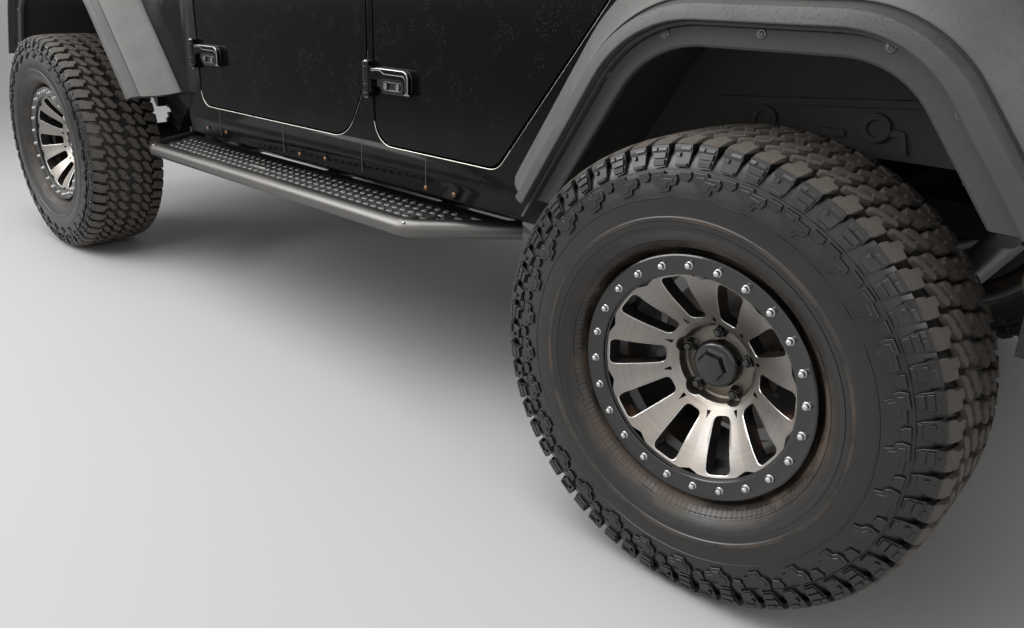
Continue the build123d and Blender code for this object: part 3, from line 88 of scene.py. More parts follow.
class Wire:
    """One number, colour or vector in a material, which takes part in arithmetic."""

    def __init__(self, graph: "Graph", socket: bpy.types.NodeSocket) -> None:
        """Wraps a node's output.

        Args:
            graph: the material's graph.
            socket: the output that this wire starts from.
        """
        self.graph = graph
        self.socket = socket

    @property
    def wide(self) -> bool:
        """Whether the wire carries a colour or vector."""
        return self.socket.type in ("VECTOR", "RGBA")

    def _combine(self, operation: str, first: "Input", second: "Input") -> "Wire":
        """Adds a Math node, or a Vector Math node when either side is wide.

        Args:
            operation: what the node does.
            first: the left side.
            second: the right side.

        Returns:
            The result.
        """
        wide = any(isinstance(side, Wire) and side.wide for side in (first, second))
        kind = "ShaderNodeVectorMath" if wide else "ShaderNodeMath"
        return self.graph.node(kind, {"operation": operation}, {0: first, 1: second})

    def __add__(self, other: "Input") -> "Wire":
        """Sum."""
        return self._combine("ADD", self, other)

    def __radd__(self, other: "Input") -> "Wire":
        """Sum, other way round."""
        return self._combine("ADD", other, self)

    def __sub__(self, other: "Input") -> "Wire":
        """Difference."""
        return self._combine("SUBTRACT", self, other)

    def __rsub__(self, other: "Input") -> "Wire":
        """Difference, other way round."""
        return self._combine("SUBTRACT", other, self)

    def __mul__(self, other: "Input") -> "Wire":
        """Product."""
        return self._combine("MULTIPLY", self, other)

    def __rmul__(self, other: "Input") -> "Wire":
        """Product, other way round."""
        return self._combine("MULTIPLY", other, self)

    def __truediv__(self, other: "Input") -> "Wire":
        """Quotient."""
        return self._combine("DIVIDE", self, other)

    def power(self, exponent: float) -> "Wire":
        """The wire raised to a power."""
        return self.graph.node("ShaderNodeMath", {"operation": "POWER"}, {0: self, 1: exponent})

    def step(self, low: float, high: float) -> "Wire":
        """A smooth step from 0 at low to 1 at high.

        Args:
            low: where it is 0.
            high: where it is 1.

        Returns:
            The step.
        """
        settings = {"interpolation_type": "SMOOTHSTEP"}
        values = {"Value": self, "From Min": low, "From Max": high}
        return self.graph.node("ShaderNodeMapRange", settings, values)

    def between(self, low: float, high: float, soft: float) -> "Wire":
        """1 between two values and 0 outside, with a soft edge.

        Args:
            low: the first value.
            high: the second value.
            soft: the width of each edge.

        Returns:
            The band.
        """
        return self.step(low - soft, low + soft) * (1 - self.step(high - soft, high + soft))


Input = Wire | float | int | tuple


class Graph:
    """The node tree of one material or of the world."""

    def __init__(self, tree: bpy.types.NodeTree) -> None:
        """Empties a tree so that it can be built anew.

        Args:
            tree: the node tree of a material or world.
        """
        self.tree = tree
        tree.nodes.clear()

    def node(self, kind: str, settings: dict[str, object], values: dict[int | str, Input],
             output: int | str = 0) -> Wire:
        """Adds one node.

        Args:
            kind: the node's type name.
            settings: its properties, set first; stops are a ramp's positions and colours.
            values: numbers, colours or wires for its inputs, by index or name.
            output: which output the result starts from.

        Returns:
            The wire that leaves the node.
        """
        made = self.tree.nodes.new(kind)
        for name, value in settings.items():
            if name == "stops":
                ramp = made.color_ramp.elements
                while len(ramp) < len(value):
                    ramp.new(1.0)
                for element, (position, colour) in zip(ramp, value):
                    element.position = position
                    element.color = (*colour, 1.0)
            else:
                setattr(made, name, value)
        for name, value in values.items():
            socket = made.inputs[name]
            if isinstance(value, Wire):
                self.tree.links.new(value.socket, socket)
            elif isinstance(value, tuple) and socket.type == "RGBA":
                socket.default_value = (*value, 1.0)
            elif socket.type in ("VECTOR", "RGBA") and not isinstance(value, tuple):
                socket.default_value = (value,) * len(socket.default_value)
            else:
                socket.default_value = value
        return Wire(self, made.outputs[output]) if len(made.outputs) else Wire(self, None)

    def mix(self, factor: Input, low: Input, high: Input) -> Wire:
        """A colour between two others.

        Args:
            factor: 0 for the first colour, 1 for the second.
            low: the first colour.
            high: the second colour.

        Returns:
            The colour.
        """
        values = {0: factor, 6: low, 7: high}
        return self.node("ShaderNodeMix", {"data_type": "RGBA"}, values, 2)

    def place(self) -> Wire:
        """The point's place on its own object, in metres."""
        return self.node("ShaderNodeTexCoord", {}, {}, "Object")

    def split(self, vector: Wire) -> tuple[Wire, Wire, Wire]:
        """A vector's three parts.

        Args:
            vector: the vector.

        Returns:
            x, y and z.
        """
        x = self.node("ShaderNodeSeparateXYZ", {}, {0: vector}, 0)
        outputs = x.socket.node.outputs
        return x, Wire(self, outputs[1]), Wire(self, outputs[2])

    def noise(self, scale: float, detail: float = 2.0, rough: float = 0.5,
              where: Wire | None = None) -> Wire:
        """Soft noise, about 0.5 in the middle.

        Args:
            scale: spots in a metre.
            detail: octaves.
            rough: the weight of the finer octaves.
            where: another place to read it at.

        Returns:
            The noise.
        """
        place = where or self.place()
        values = {"Vector": place, "Scale": scale, "Detail": detail, "Roughness": rough}
        return self.node("ShaderNodeTexNoise", {}, values, "Fac")

    def specks(self, scale: float, where: Wire | None = None) -> Wire:
        """Distance to the nearest of many scattered points, in cells.

        Args:
            scale: points in a metre.
            where: another place to read it at.

        Returns:
            The distance.
        """
        values = {"Vector": where or self.place(), "Scale": scale}
        return self.node("ShaderNodeTexVoronoi", {"feature": "F1"}, values, "Distance")

    def stretched(self, amounts: Point) -> Wire:
        """The place on the object, scaled along each axis."""
        return self.node("ShaderNodeMapping", {}, {"Vector": self.place(), "Scale": amounts})

    def bump(self, height: Wire, distance: float, normal: Wire | None = None) -> Wire:
        """A normal tilted by a height that is given as a share of distance.

        Args:
            height: the relief, from 0 to 1.
            distance: its depth in metres.
            normal: the normal it starts from.

        Returns:
            The normal.
        """
        values: dict[int | str, Input] = {"Height": height, "Distance": distance, "Strength": 1.0}
        if normal is not None:
            values["Normal"] = normal
        return self.node("ShaderNodeBump", {}, values)

    def soft_edge(self, radius: float) -> Wire:
        """The normal with every sharp edge rounded."""
        return self.node("ShaderNodeBevel", {"samples": 4}, {"Radius": radius})

    def surface(self, **values: Input) -> None:
        """Ends the material in one Principled shader; names have _ for spaces.

        Args:
            values: each input, by name.
        """
        named = {name.replace("_", " "): value for name, value in values.items()}
        shader = self.node("ShaderNodeBsdfPrincipled", {}, named)
        self.node("ShaderNodeOutputMaterial", {}, {"Surface": shader})


@dataclass(frozen=True)
class Finish(ABC):
    """A surface finish, made once as a material and shared."""

    name: str

    def material(self) -> bpy.types.Material:
        """The finish's material, built on first use.

        Returns:
            The material.
        """
        title = "finish_" + self.name
        made = bpy.data.materials.get(title)
        if made is None:
            made = bpy.data.materials.new(title)
            made.use_nodes = True
            self.dress(Graph(made.node_tree))
        return made

    @abstractmethod
    def dress(self, graph: Graph) -> None:
        """Builds the finish's nodes."""


@dataclass(frozen=True)
class BodyPaint(Finish):
    """Black clear-coated paint with rain spots and road film low down."""

    name: str = "body_paint"
    colour: Colour = (0.0056, 0.0053, 0.0056)
    film: Colour = (0.034, 0.031, 0.028)

    def dress(self, graph: Graph) -> None:
        """Builds the finish's nodes.

        Args:
            graph: the finish's node graph.
        """
        height = graph.split(graph.place())[2]
        cloud = graph.noise(9.0, 4.0, 0.6)
        low = (1 - height.step(0.45, 0.95)) * cloud.step(0.42, 0.75)
        spots = 1 - graph.specks(170.0).step(0.16, 0.30)
        spotted = spots * graph.noise(14.0, 1.0).step(0.52, 0.66)
        peel = graph.noise(260.0, 1.0)
        grime = low * 0.16 + spotted * 0.07
        normal = graph.bump(peel, 0.00006, graph.soft_edge(0.0025))
        normal = graph.bump(spotted, 0.0005, normal)
        graph.surface(Base_Color=graph.mix(grime, self.colour, self.film), Roughness=0.10 + grime * 1.1,
                      Specular_IOR_Level=0.13, Normal=normal)


@dataclass(frozen=True)
class MouldedPlastic(Finish):
    """Grained moulded plastic, faded and spotted by rain."""

    name: str = "flare_plastic"
    colour: Colour = (0.084, 0.0815, 0.0790)
    pale: Colour = (0.142, 0.137, 0.131)
    rough: float = 0.46
    grain: float = 0.00018
    wet: float = 0.5

    def dress(self, graph: Graph) -> None:
        """Builds the finish's nodes.

        Args:
            graph: the finish's node graph.
        """
        cloud = graph.noise(5.0, 5.0, 0.62)
        drops = 1 - graph.specks(210.0).step(0.14, 0.27)
        drops = drops * graph.noise(7.0, 2.0).step(0.47, 0.62) * self.wet
        grain = graph.noise(1500.0, 2.0, 0.6)
        scuff = graph.noise(60.0, 6.0, 0.7).step(0.52, 0.80)
        tone = graph.mix(cloud.step(0.3, 0.75), self.colour, self.pale)
        tone = graph.mix(drops * 0.55, tone, (0.012, 0.012, 0.012))
        normal = graph.bump(grain, self.grain, graph.soft_edge(0.0015))
        normal = graph.bump(drops, 0.0006, normal)
        rough = self.rough + scuff * 0.14 - drops * 0.30
        graph.surface(Base_Color=tone, Roughness=rough, Normal=normal)


@dataclass(frozen=True)
class PowderCoat(Finish):
    """Satin textured coating on steel, with dust in its hollows."""

    name: str = "powder_coat"
    colour: Colour = (0.016, 0.016, 0.017)
    dust: Colour = (0.090, 0.080, 0.068)
    rough: float = 0.42
    dusty: float = 0.35

    def dress(self, graph: Graph) -> None:
        """Builds the finish's nodes.

        Args:
            graph: the finish's node graph.
        """
        cloud = graph.noise(8.0, 6.0, 0.65).step(0.45, 0.85)
        fine = graph.noise(900.0, 2.0, 0.6)
        film = cloud * self.dusty * (0.5 + fine * 0.5)
        normal = graph.bump(fine, 0.00020, graph.soft_edge(0.002))
        graph.surface(Base_Color=graph.mix(film, self.colour, self.dust), Roughness=self.rough + film * 0.8,
                      Metallic=0.25 - film * 0.25, Normal=normal)


@dataclass(frozen=True)
class SatinTube(Finish):
    """Satin metallic coating with dried splashes and fine dust."""

    name: str = "step_tube"
    colour: Colour = (0.150, 0.146, 0.140)
    rough: float = 0.33
    splashed: float = 0.5

    def dress(self, graph: Graph) -> None:
        """Builds the finish's nodes.

        Args:
            graph: the finish's node graph.
        """
        cloud = graph.noise(6.0, 6.0, 0.65)
        fine = graph.noise(700.0, 2.0, 0.6)
        drops = (1 - graph.specks(120.0).step(0.10, 0.24)) * graph.noise(5.0, 2.0).step(0.50, 0.62)
        film = cloud.step(0.45, 0.80) * 0.5 * self.splashed + drops * self.splashed * 0.5
        tone = graph.mix(film, self.colour, (0.19, 0.175, 0.155))
        normal = graph.bump(fine, 0.00008, graph.soft_edge(0.0012))
        graph.surface(Base_Color=tone, Metallic=0.92 - film * 0.5,
                      Roughness=self.rough + film * 0.35 + fine * 0.04,
                      Normal=graph.bump(drops, 0.0004, normal))


@dataclass(frozen=True)
class CastIron(Finish):
    """Bare cast or forged metal with brown surface rust."""

    name: str = "cast_iron"
    colour: Colour = (0.085, 0.080, 0.075)
    rust: Colour = (0.150, 0.060, 0.022)
    rough: float = 0.55

    def dress(self, graph: Graph) -> None:
        """Builds the finish's nodes.

        Args:
            graph: the finish's node graph.
        """
        patch = graph.noise(22.0, 7.0, 0.7).step(0.46, 0.68)
        sand = graph.noise(700.0, 3.0, 0.7)
        normal = graph.bump(sand, 0.0004, graph.soft_edge(0.002))
        graph.surface(Base_Color=graph.mix(patch * 0.8, self.colour, self.rust),
                      Roughness=self.rough + patch * 0.3, Metallic=0.8 - patch * 0.7, Normal=normal)


@dataclass(frozen=True)
class BrightSteel(Finish):
    """Plated or polished steel with fine scratches."""

    name: str = "bright_steel"
    colour: Colour = (0.62, 0.62, 0.61)
    rough: float = 0.22

    def dress(self, graph: Graph) -> None:
        """Builds the finish's nodes.

        Args:
            graph: the finish's node graph.
        """
        smear = graph.noise(90.0, 4.0, 0.6)
        scratch = graph.noise(500.0, 2.0, 0.5, graph.stretched((1.0, 1.0, 12.0)))
        tone = graph.mix(smear.step(0.55, 0.8) * 0.5, self.colour, (0.22, 0.20, 0.18))
        graph.surface(Base_Color=tone, Metallic=1.0, Roughness=self.rough + smear * 0.12,
                      Normal=graph.bump(scratch, 0.00005, graph.soft_edge(0.0008)))


@dataclass(frozen=True)
class MachinedAlloy(Finish):
    """Tinted aluminium, turned on a lathe, whose fine rings run round the axle."""

    name: str = "machined_alloy"
    colour: Colour = (0.285, 0.272, 0.258)
    warm: Colour = (0.330, 0.295, 0.255)
    rough: float = 0.30

    def dress(self, graph: Graph) -> None:
        """Builds the finish's nodes.

        Args:
            graph: the finish's node graph.
        """
        x, _, z = graph.split(graph.place())
        radius = (x * x + z * z).power(0.5)
        thread = graph.node("ShaderNodeTexNoise", {"noise_dimensions": "1D"},
                            {"W": radius * 1.0, "Scale": 2600.0, "Detail": 2.0}, "Fac")
        broad = graph.node("ShaderNodeTexNoise", {"noise_dimensions": "1D"},
                           {"W": radius * 1.0, "Scale": 170.0, "Detail": 3.0}, "Fac")
        cloud = graph.noise(14.0, 5.0, 0.6)
        tone = graph.mix(cloud.step(0.35, 0.70), self.colour, self.warm)
        tone = tone * (0.86 + broad * 0.28)
        rough = self.rough + broad * 0.10 + cloud * 0.06
        graph.surface(Base_Color=tone, Metallic=1.0, Roughness=rough, Coat_Weight=0.25,
                      Coat_Roughness=0.08, Normal=graph.bump(thread, 0.00010))


@dataclass(frozen=True)
class GlossBlack(Finish):
    """Gloss black enamel with a little dust."""

    name: str = "gloss_black"
    colour: Colour = (0.008, 0.008, 0.008)
    rough: float = 0.16

    def dress(self, graph: Graph) -> None:
        """Builds the finish's nodes.

        Args:
            graph: the finish's node graph.
        """
        dust = graph.noise(55.0, 6.0, 0.7).step(0.58, 0.85) * 0.30
        fine = graph.noise(1200.0, 1.0)
        graph.surface(Base_Color=graph.mix(dust, self.colour, (0.10, 0.075, 0.055)),
                      Roughness=self.rough + dust * 1.3, Coat_Weight=0.6 - dust,
                      Normal=graph.bump(fine, 0.00003, graph.soft_edge(0.0012)))


@dataclass(frozen=True)
class BrakeDust(Finish):
    """The wheel's black barrel with rust-brown brake dust."""

    name: str = "barrel_black"
    colour: Colour = (0.012, 0.011, 0.011)
    dust: Colour = (0.140, 0.062, 0.026)

    def dress(self, graph: Graph) -> None:
        """Builds the finish's nodes.

        Args:
            graph: the finish's node graph.
        """
        patch = graph.noise(16.0, 6.0, 0.68).step(0.48, 0.74)
        pale = graph.noise(38.0, 4.0, 0.6).step(0.60, 0.80)
        tone = graph.mix(patch * 0.75, self.colour, self.dust)
        tone = graph.mix(pale * 0.4, tone, (0.12, 0.11, 0.10))
        fine = graph.noise(600.0, 3.0, 0.6)
        graph.surface(Base_Color=tone, Roughness=0.34 + patch * 0.4, Coat_Weight=0.3,
                      Normal=graph.bump(fine, 0.00025))


@dataclass(frozen=True)
class Rubber(Finish):
    """Tyre rubber: dry brown dust on the tread, wet black sides, dusty beads."""

    name: str = "tyre_rubber"
    colour: Colour = (0.0070, 0.0066, 0.0064)
    tread: Colour = (0.100, 0.083, 0.068)
    bead: Colour = (0.062, 0.043, 0.029)
    tread_radius: float = 0.4255
    bead_radius: float = 0.262

    def dress(self, graph: Graph) -> None:
        """Builds the finish's nodes.

        Args:
            graph: the finish's node graph.
        """
        x, y, z = graph.split(graph.place())
        radius = (x * x + z * z).power(0.5)
        side = (y * y).power(0.5)
        cloud = graph.noise(11.0, 6.0, 0.66)
        stipple = graph.noise(620.0, 3.0, 0.75)
        clump = graph.noise(140.0, 4.0, 0.7)
        crown = radius.step(self.tread_radius, self.tread_radius + 0.005) * (1 - side.step(0.1385, 0.1405))
        scrubbed = crown * (0.45 + clump * 0.9) * (0.72 + cloud * 0.5)
        near_bead = (1 - radius.step(self.bead_radius - 0.012, self.bead_radius + 0.020))
        near_bead = near_bead * (0.25 + cloud.step(0.40, 0.62))
        band = radius.between(0.2985, 0.3065, 0.003) * cloud.step(0.36, 0.6)
        film = cloud.step(0.52, 0.80) * 0.06 * (1 - crown)
        tone = graph.mix(scrubbed.step(0.20, 1.05), self.colour, self.tread)
        tone = graph.mix(near_bead * 0.85, tone, self.bead)
        tone = graph.mix(band * 0.75, tone, self.bead)
        tone = graph.mix(film, tone, (0.085, 0.075, 0.066))
        dry = crown * 0.42 + near_bead * 0.35 + band * 0.3 + film
        rough = 0.27 + dry * 0.9 + stipple * 0.05
        normal = graph.bump(stipple * (0.05 + crown), 0.0016)
        angle = graph.node("ShaderNodeMath", {"operation": "ARCTAN2"}, {0: z, 1: x})
        ticks = graph.node("ShaderNodeMath", {"operation": "SINE"}, {0: angle * 150.0})
        ticked = ticks.step(0.55, 0.9) * radius.between(0.2475, 0.2585, 0.0015)
        normal = graph.bump(ticked, 0.0009, normal)
        rings = graph.node("ShaderNodeMath", {"operation": "SINE"}, {0: radius * 2400.0})
        ridged = rings.step(0.2, 0.9) * radius.between(0.2610, 0.2790, 0.001)
        normal = graph.bump(ridged, 0.0006, normal)
        graph.surface(Base_Color=tone, Roughness=rough, Specular_IOR_Level=0.68, Normal=normal)


@dataclass(frozen=True)
class TintedGlass(Finish):
    """Dark window glass with a film of dried rain."""

    name: str = "tinted_glass"
    colour: Colour = (0.012, 0.015, 0.015)
    clear: float = 0.42

    def dress(self, graph: Graph) -> None:
        """Builds the finish's nodes.

        Args:
            graph: the finish's node graph.
        """
        film = graph.noise(6.0, 6.0, 0.7).step(0.45, 0.85)
        haze = film * 0.05
        graph.surface(Base_Color=graph.mix(haze, self.colour, (0.4, 0.4, 0.39)), Roughness=0.03 + haze * 0.4,
                      IOR=1.5, Alpha=1 - self.clear * (1 - haze), Specular_IOR_Level=0.22)


@dataclass(frozen=True)
class LampLens(Finish):
    """A clear or red moulded lens with fine fluting."""

    name: str = "lamp_clear"
    colour: Colour = (0.80, 0.80, 0.80)
    see_through: float = 0.65
    flutes: float = 900.0

    def dress(self, graph: Graph) -> None:
        """Builds the finish's nodes.

        Args:
            graph: the finish's node graph.
        """
        _, y, z = graph.split(graph.place())
        wave = graph.node("ShaderNodeMath", {"operation": "SINE"}, {0: z * self.flutes})
        cross = graph.node("ShaderNodeMath", {"operation": "SINE"}, {0: y * self.flutes})
        grime = graph.noise(18.0, 5.0, 0.6).step(0.5, 0.85) * 0.3
        graph.surface(Base_Color=graph.mix(grime, self.colour, (0.2, 0.18, 0.16)), Roughness=0.06 + grime,
                      Alpha=1 - self.see_through * (1 - grime), Coat_Weight=0.5,
                      Normal=graph.bump(wave + cross, 0.0004, graph.soft_edge(0.003)))


@dataclass(frozen=True)
class SeatCloth(Finish):
    """Black woven seat cloth with a tight twill."""

    name: str = "seat_cloth"
    colour: Colour = (0.022, 0.022, 0.023)
    thread: Colour = (0.060, 0.060, 0.062)

    def dress(self, graph: Graph) -> None:
        """Builds the finish's nodes.

        Args:
            graph: the finish's node graph.
        """
        x, y, z = graph.split(graph.place())
        warp = graph.node("ShaderNodeMath", {"operation": "SINE"}, {0: (x + z) * 2400.0 + y * 1200.0})
        weft = graph.node("ShaderNodeMath", {"operation": "SINE"}, {0: y * 2400.0 - (x + z) * 1200.0})
        weave = (warp * weft + 1) * 0.5
        fade = graph.noise(7.0, 4.0, 0.6)
        tone = graph.mix(weave * 0.6 + fade * 0.2, self.colour, self.thread)
        graph.surface(Base_Color=tone, Roughness=0.86, Sheen_Weight=0.35, Sheen_Roughness=0.5,
                      Normal=graph.bump(weave, 0.0005))


PAINT = BodyPaint()
FLARE = MouldedPlastic()
LINER = MouldedPlastic("liner_plastic", (0.0620, 0.0610, 0.0600), (0.058, 0.055, 0.051), 0.55, 0.00030, 0.3)
TRIM = MouldedPlastic("trim_plastic", (0.016, 0.016, 0.016), (0.026, 0.026, 0.025), 0.50, 0.00025, 0.1)
COAT = PowderCoat()
STEP_COAT = PowderCoat("step_coat", (0.019, 0.019, 0.020), (0.10, 0.092, 0.082), 0.36, 0.25)
IRON = CastIron()
STEEL = BrightSteel()
DISC_STEEL = BrightSteel("disc_steel", (0.30, 0.28, 0.26), 0.36)
ALLOY = MachinedAlloy()
RECESS = MachinedAlloy("recess_alloy", (0.150, 0.138, 0.124), (0.190, 0.165, 0.135), 0.34)
ENAMEL = GlossBlack()
BARREL = BrakeDust()
RUBBER = Rubber()
GLASS = TintedGlass()
CLEAR_LENS = LampLens()
RED_LENS = LampLens("lamp_red", (0.42, 0.010, 0.008), 0.15, 700.0)
AMBER_LENS = LampLens("lamp_amber", (0.75, 0.20, 0.01), 0.2, 700.0)
CLOTH = SeatCloth()
LIP = MouldedPlastic("flare_lip", (0.050, 0.049, 0.048), (0.085, 0.083, 0.080), 0.42, 0.00022, 0.9)
SPRING = PowderCoat("spring_coat", (0.020, 0.020, 0.021), (0.12, 0.085, 0.055), 0.38, 0.45)
FASTENER = BrightSteel("dark_fastener", (0.16, 0.155, 0.15), 0.34)
COPPER = BrightSteel("copper_screw", (0.25, 0.150, 0.088), 0.38)
CHROME = BrightSteel("chrome", (0.80, 0.80, 0.79), 0.08)
PLATE = SatinTube("bare_plate", (0.62, 0.62, 0.60), 0.42, 0.4)
# bright metal for the dial needles, and a painted highlight along the door openings' lower edges
BRIGHT_METAL_AND_HIGHLIGHT = BrightSteel("bare_edge", (0.62, 0.58, 0.53), 0.30)
HINGE = GlossBlack("hinge_enamel", (0.0065, 0.0063, 0.0066), 0.13)
# a bright metal on the hinges' upper bevels and caps: painted highlight
PAINTED_GLINT = BrightSteel("worn_edge", (0.40, 0.39, 0.38), 0.24)
STEP_TUBE = SatinTube()
DAMPER = SatinTube("damper_coat", (0.20, 0.20, 0.20), 0.34, 0.6)
PIPE = BrightSteel("exhaust_steel", (0.30, 0.26, 0.22), 0.42)
TREAD_PLATE = SatinTube("tread_plate", (0.155, 0.153, 0.150), 0.46, 0.35)
STEP_EDGE = SatinTube("step_edge", (0.40, 0.385, 0.36), 0.30, 0.3)


# Mesh tools


class Shape:
    """Gathers the vertices and faces of one piece."""

    def __init__(self) -> None:
        """Starts with nothing."""
        self.points: list[Point] = []
        self.faces: list[tuple[int, ...]] = []
        self.marks: list[int] = []

    def ring(self, points: Iterable[Point]) -> list[int]:
        """Adds points and returns their numbers.

        Args:
            points: the points.

        Returns:
            Their numbers.
        """
        start = len(self.points)
        self.points.extend(points)
        return list(range(start, len(self.points)))

    def face(self, corners: Sequence[int], mark: int = 0) -> None:
        """Adds one face with a finish number."""
        self.faces.append(tuple(corners))
        self.marks.append(mark)

    def bridge(self, low: Sequence[int], high: Sequence[int], mark: int = 0, closed: bool = True) -> None:
        """Joins two rings of as many points with quads.

        Args:
            low: the first ring.
            high: the second ring.
            mark: the finish's number.
            closed: whether the rings close on themselves.
        """
        count = len(low)
        for i in range(count if closed else count - 1):
            j = (i + 1) % count
            self.face((low[i], low[j], high[j], high[i]), mark)

    def loft(self, rings: Sequence[Sequence[int]], mark: int = 0, closed: bool = True) -> None:
        """Joins each ring to the next.

        Args:
            rings: the rings in order.
            mark: the finish's number.
            closed: whether the rings close on themselves.
        """
        for low, high in zip(rings, rings[1:]):
            self.bridge(low, high, mark, closed)

    def revolve(self, profile: Sequence[Pair], steps: int, mark: int = 0, closed: bool = False,
                start: float = 0.0, sweep: float = math.tau) -> None:
        """Turns (radius, y) points about the y axis.

        Args:
            profile: the points.
            steps: how many parts a turn has.
            mark: the finish's number.
            closed: whether the profile closes on itself.
            start: the first angle.
            sweep: the angle turned through.
        """
        whole = abs(sweep - math.tau) < 1e-6
        count = steps if whole else steps + 1
        rings = []
        for radius, y in profile:
            turned = [polar(radius, start + sweep * i / steps, y) for i in range(count)]
            rings.append(self.ring(turned))
        pairs = list(zip(rings, rings[1:]))
        if closed:
            pairs.append((rings[-1], rings[0]))
        for low, high in pairs:
            self.bridge(low, high, mark, whole)

    def prism(self, outline: Sequence[Pair], levels: Sequence[tuple[float, float]],
              place: Callable[[float, float, float], Point], mark: int = 0, foot: bool = False) -> None:
        """Raises an outline through levels of (height, inset) and caps its top.

        Args:
            outline: corners in the surface's own two coordinates, either way round.
            levels: height and inset of each ring, from the foot up.
            place: turns the two coordinates and a height into a point.
            mark: the finish number.
            foot: whether the underside is closed too.
        """
        rings = []
        for height, inset in levels:
            corners = shrunk(outline, inset) if inset else outline
            rings.append(self.ring(place(u, v, height) for u, v in corners))
        self.loft(rings, mark)
        self.face(rings[-1], mark)
        if foot:
            self.face(rings[0][::-1], mark)

    def tube(self, path: Sequence[Vector], radius: float, sides: int = 10, mark: int = 0,
             capped: bool = True, closed: bool = False) -> None:
        """A round bar along points, with one frame carried from point to point.

        Args:
            path: the middle line.
            radius: half the bar's thickness.
            sides: how many sides it has.
            mark: the finish's number.
            capped: whether its ends are shut.
            closed: whether the path closes on itself.
        """
        rings = []
        count = len(path)
        normal: Vector | None = None
        for i, here in enumerate(path):
            back = path[i - 1] if i or closed else here
            on = path[(i + 1) % count] if i < count - 1 or closed else here
            along = (on - back).normalized()
            if normal is None:
                normal = along.orthogonal().normalized()
            normal = (normal - along * normal.dot(along)).normalized()
            across = along.cross(normal)
            around = []
            for k in range(sides):
                turn = math.tau * k / sides
                around.append(tuple(here + (normal * math.cos(turn) + across * math.sin(turn)) * radius))
            rings.append(self.ring(around))
        self.loft(rings, mark)
        if closed:
            self.bridge(rings[-1], rings[0], mark)
        elif capped:
            self.face(rings[0][::-1], mark)
            self.face(rings[-1], mark)

    def box(self, low: Point, high: Point, bevel: float = 0.0, mark: int = 0) -> None:
        """A box between two corners with bevelled upright edges and top.

        Args:
            low: the lowest corner.
            high: the highest corner.
            bevel: the bevel's width.
            mark: the finish's number.
        """
        outline = cut_corners([(low[0], low[1]), (high[0], low[1]), (high[0], high[1]), (low[0], high[1])],
                              bevel)
        levels = [(low[2], bevel / 2), (low[2] + bevel / 2, 0.0), (high[2] - bevel / 2, 0.0),
                  (high[2], bevel / 2)]
        if not bevel:
            levels = [(low[2], 0.0), (high[2], 0.0)]
        self.prism(outline, levels, lambda u, v, h: (u, v, h), mark, True)

    def add(self, other: "Shape", move: Matrix) -> None:
        """Copies another shape's faces in, moved.

        Args:
            other: the shape that is copied.
            move: where it goes.
        """
        start = len(self.points)
        self.points.extend(tuple(move @ Vector(point)) for point in other.points)
        flip = move.determinant() < 0
        for corners, mark in zip(other.faces, other.marks):
            turned = tuple(start + i for i in corners)
            self.face(turned[::-1] if flip else turned, mark)

    def mirrored(self) -> "Shape":
        """This shape with its mirror image on the vehicle's other side.

        Returns:
            Both halves.
        """
        both = Shape()
        both.add(self, Matrix.Identity(4))
        both.add(self, Matrix.Scale(-1, 4, (0, 1, 0)))
        return both

    def mesh(self, name: str, finishes: Sequence[Finish], sharp: float = 32.0) -> bpy.types.Mesh:
        """Makes the mesh with outward faces, smooth but for edges over the sharp angle in degrees.

        Args:
            name: the mesh's name.
            finishes: the finishes by number.
            sharp: the angle.

        Returns:
            The mesh.
        """
        made = bpy.data.meshes.new(name)
        made.from_pydata(self.points, [], self.faces)
        made.polygons.foreach_set("material_index", self.marks)
        made.validate()
        work = fix_normals(made)
        work.polygons.foreach_set("use_smooth", [True] * len(work.polygons))
        work.set_sharp_from_angle(angle=math.radians(sharp))
        for finish in finishes:
            work.materials.append(finish.material())
        return work


def lathe(*parts: tuple[Sequence[Pair], int, int]) -> Shape:
    """A shape turned about y from profiles, each with its steps and finish.

    Args:
        parts: the profiles.

    Returns:
        The shape.
    """
    made = Shape()
    for profile, steps, mark in parts:
        made.revolve(profile, steps, mark)
    return made


def fix_normals(mesh: bpy.types.Mesh) -> bpy.types.Mesh:
    """Turns every closed shell's faces outwards.

    Args:
        mesh: the mesh.

    Returns:
        The same mesh.
    """
    work = bmesh.new()
    work.from_mesh(mesh)
    bmesh.ops.recalc_face_normals(work, faces=work.faces)
    work.to_mesh(mesh)
    work.free()
    return mesh


def polar(radius: float, angle: float, y: float) -> Point:
    """A point about the y axis, its angle from +x towards +z."""
    return (radius * math.cos(angle), y, radius * math.sin(angle))


def signed_area(outline: Sequence[Pair]) -> float:
    """An outline's area, positive where it runs anticlockwise."""
    return sum(a[0] * b[1] - b[0] * a[1] for a, b in zip(outline, [*outline[1:], outline[0]])) / 2


def shrunk(outline: Sequence[Pair], inset: float) -> list[Pair]:
    """An outline moved inwards by a small distance.

    Args:
        outline: the points.
        inset: how far they move.

    Returns:
        The smaller outline.
    """
    way = 1.0 if signed_area(outline) > 0 else -1.0
    moved = []
    for i, here in enumerate(outline):
        before, after = Vector(outline[i - 1]), Vector(outline[(i + 1) % len(outline)])
        first = (Vector(here) - before).normalized()
        second = (after - Vector(here)).normalized()
        normal = Vector((-first.y - second.y, first.x + second.x)) * way
        if normal.length < 1e-6:
            normal = Vector((-first.y, first.x)) * way
        normal.normalize()
        cosine = max(0.35, abs(normal.dot(Vector((-first.y, first.x)))))
        place = Vector(here) + normal * (inset / cosine)
        moved.append((place.x, place.y))
    return moved


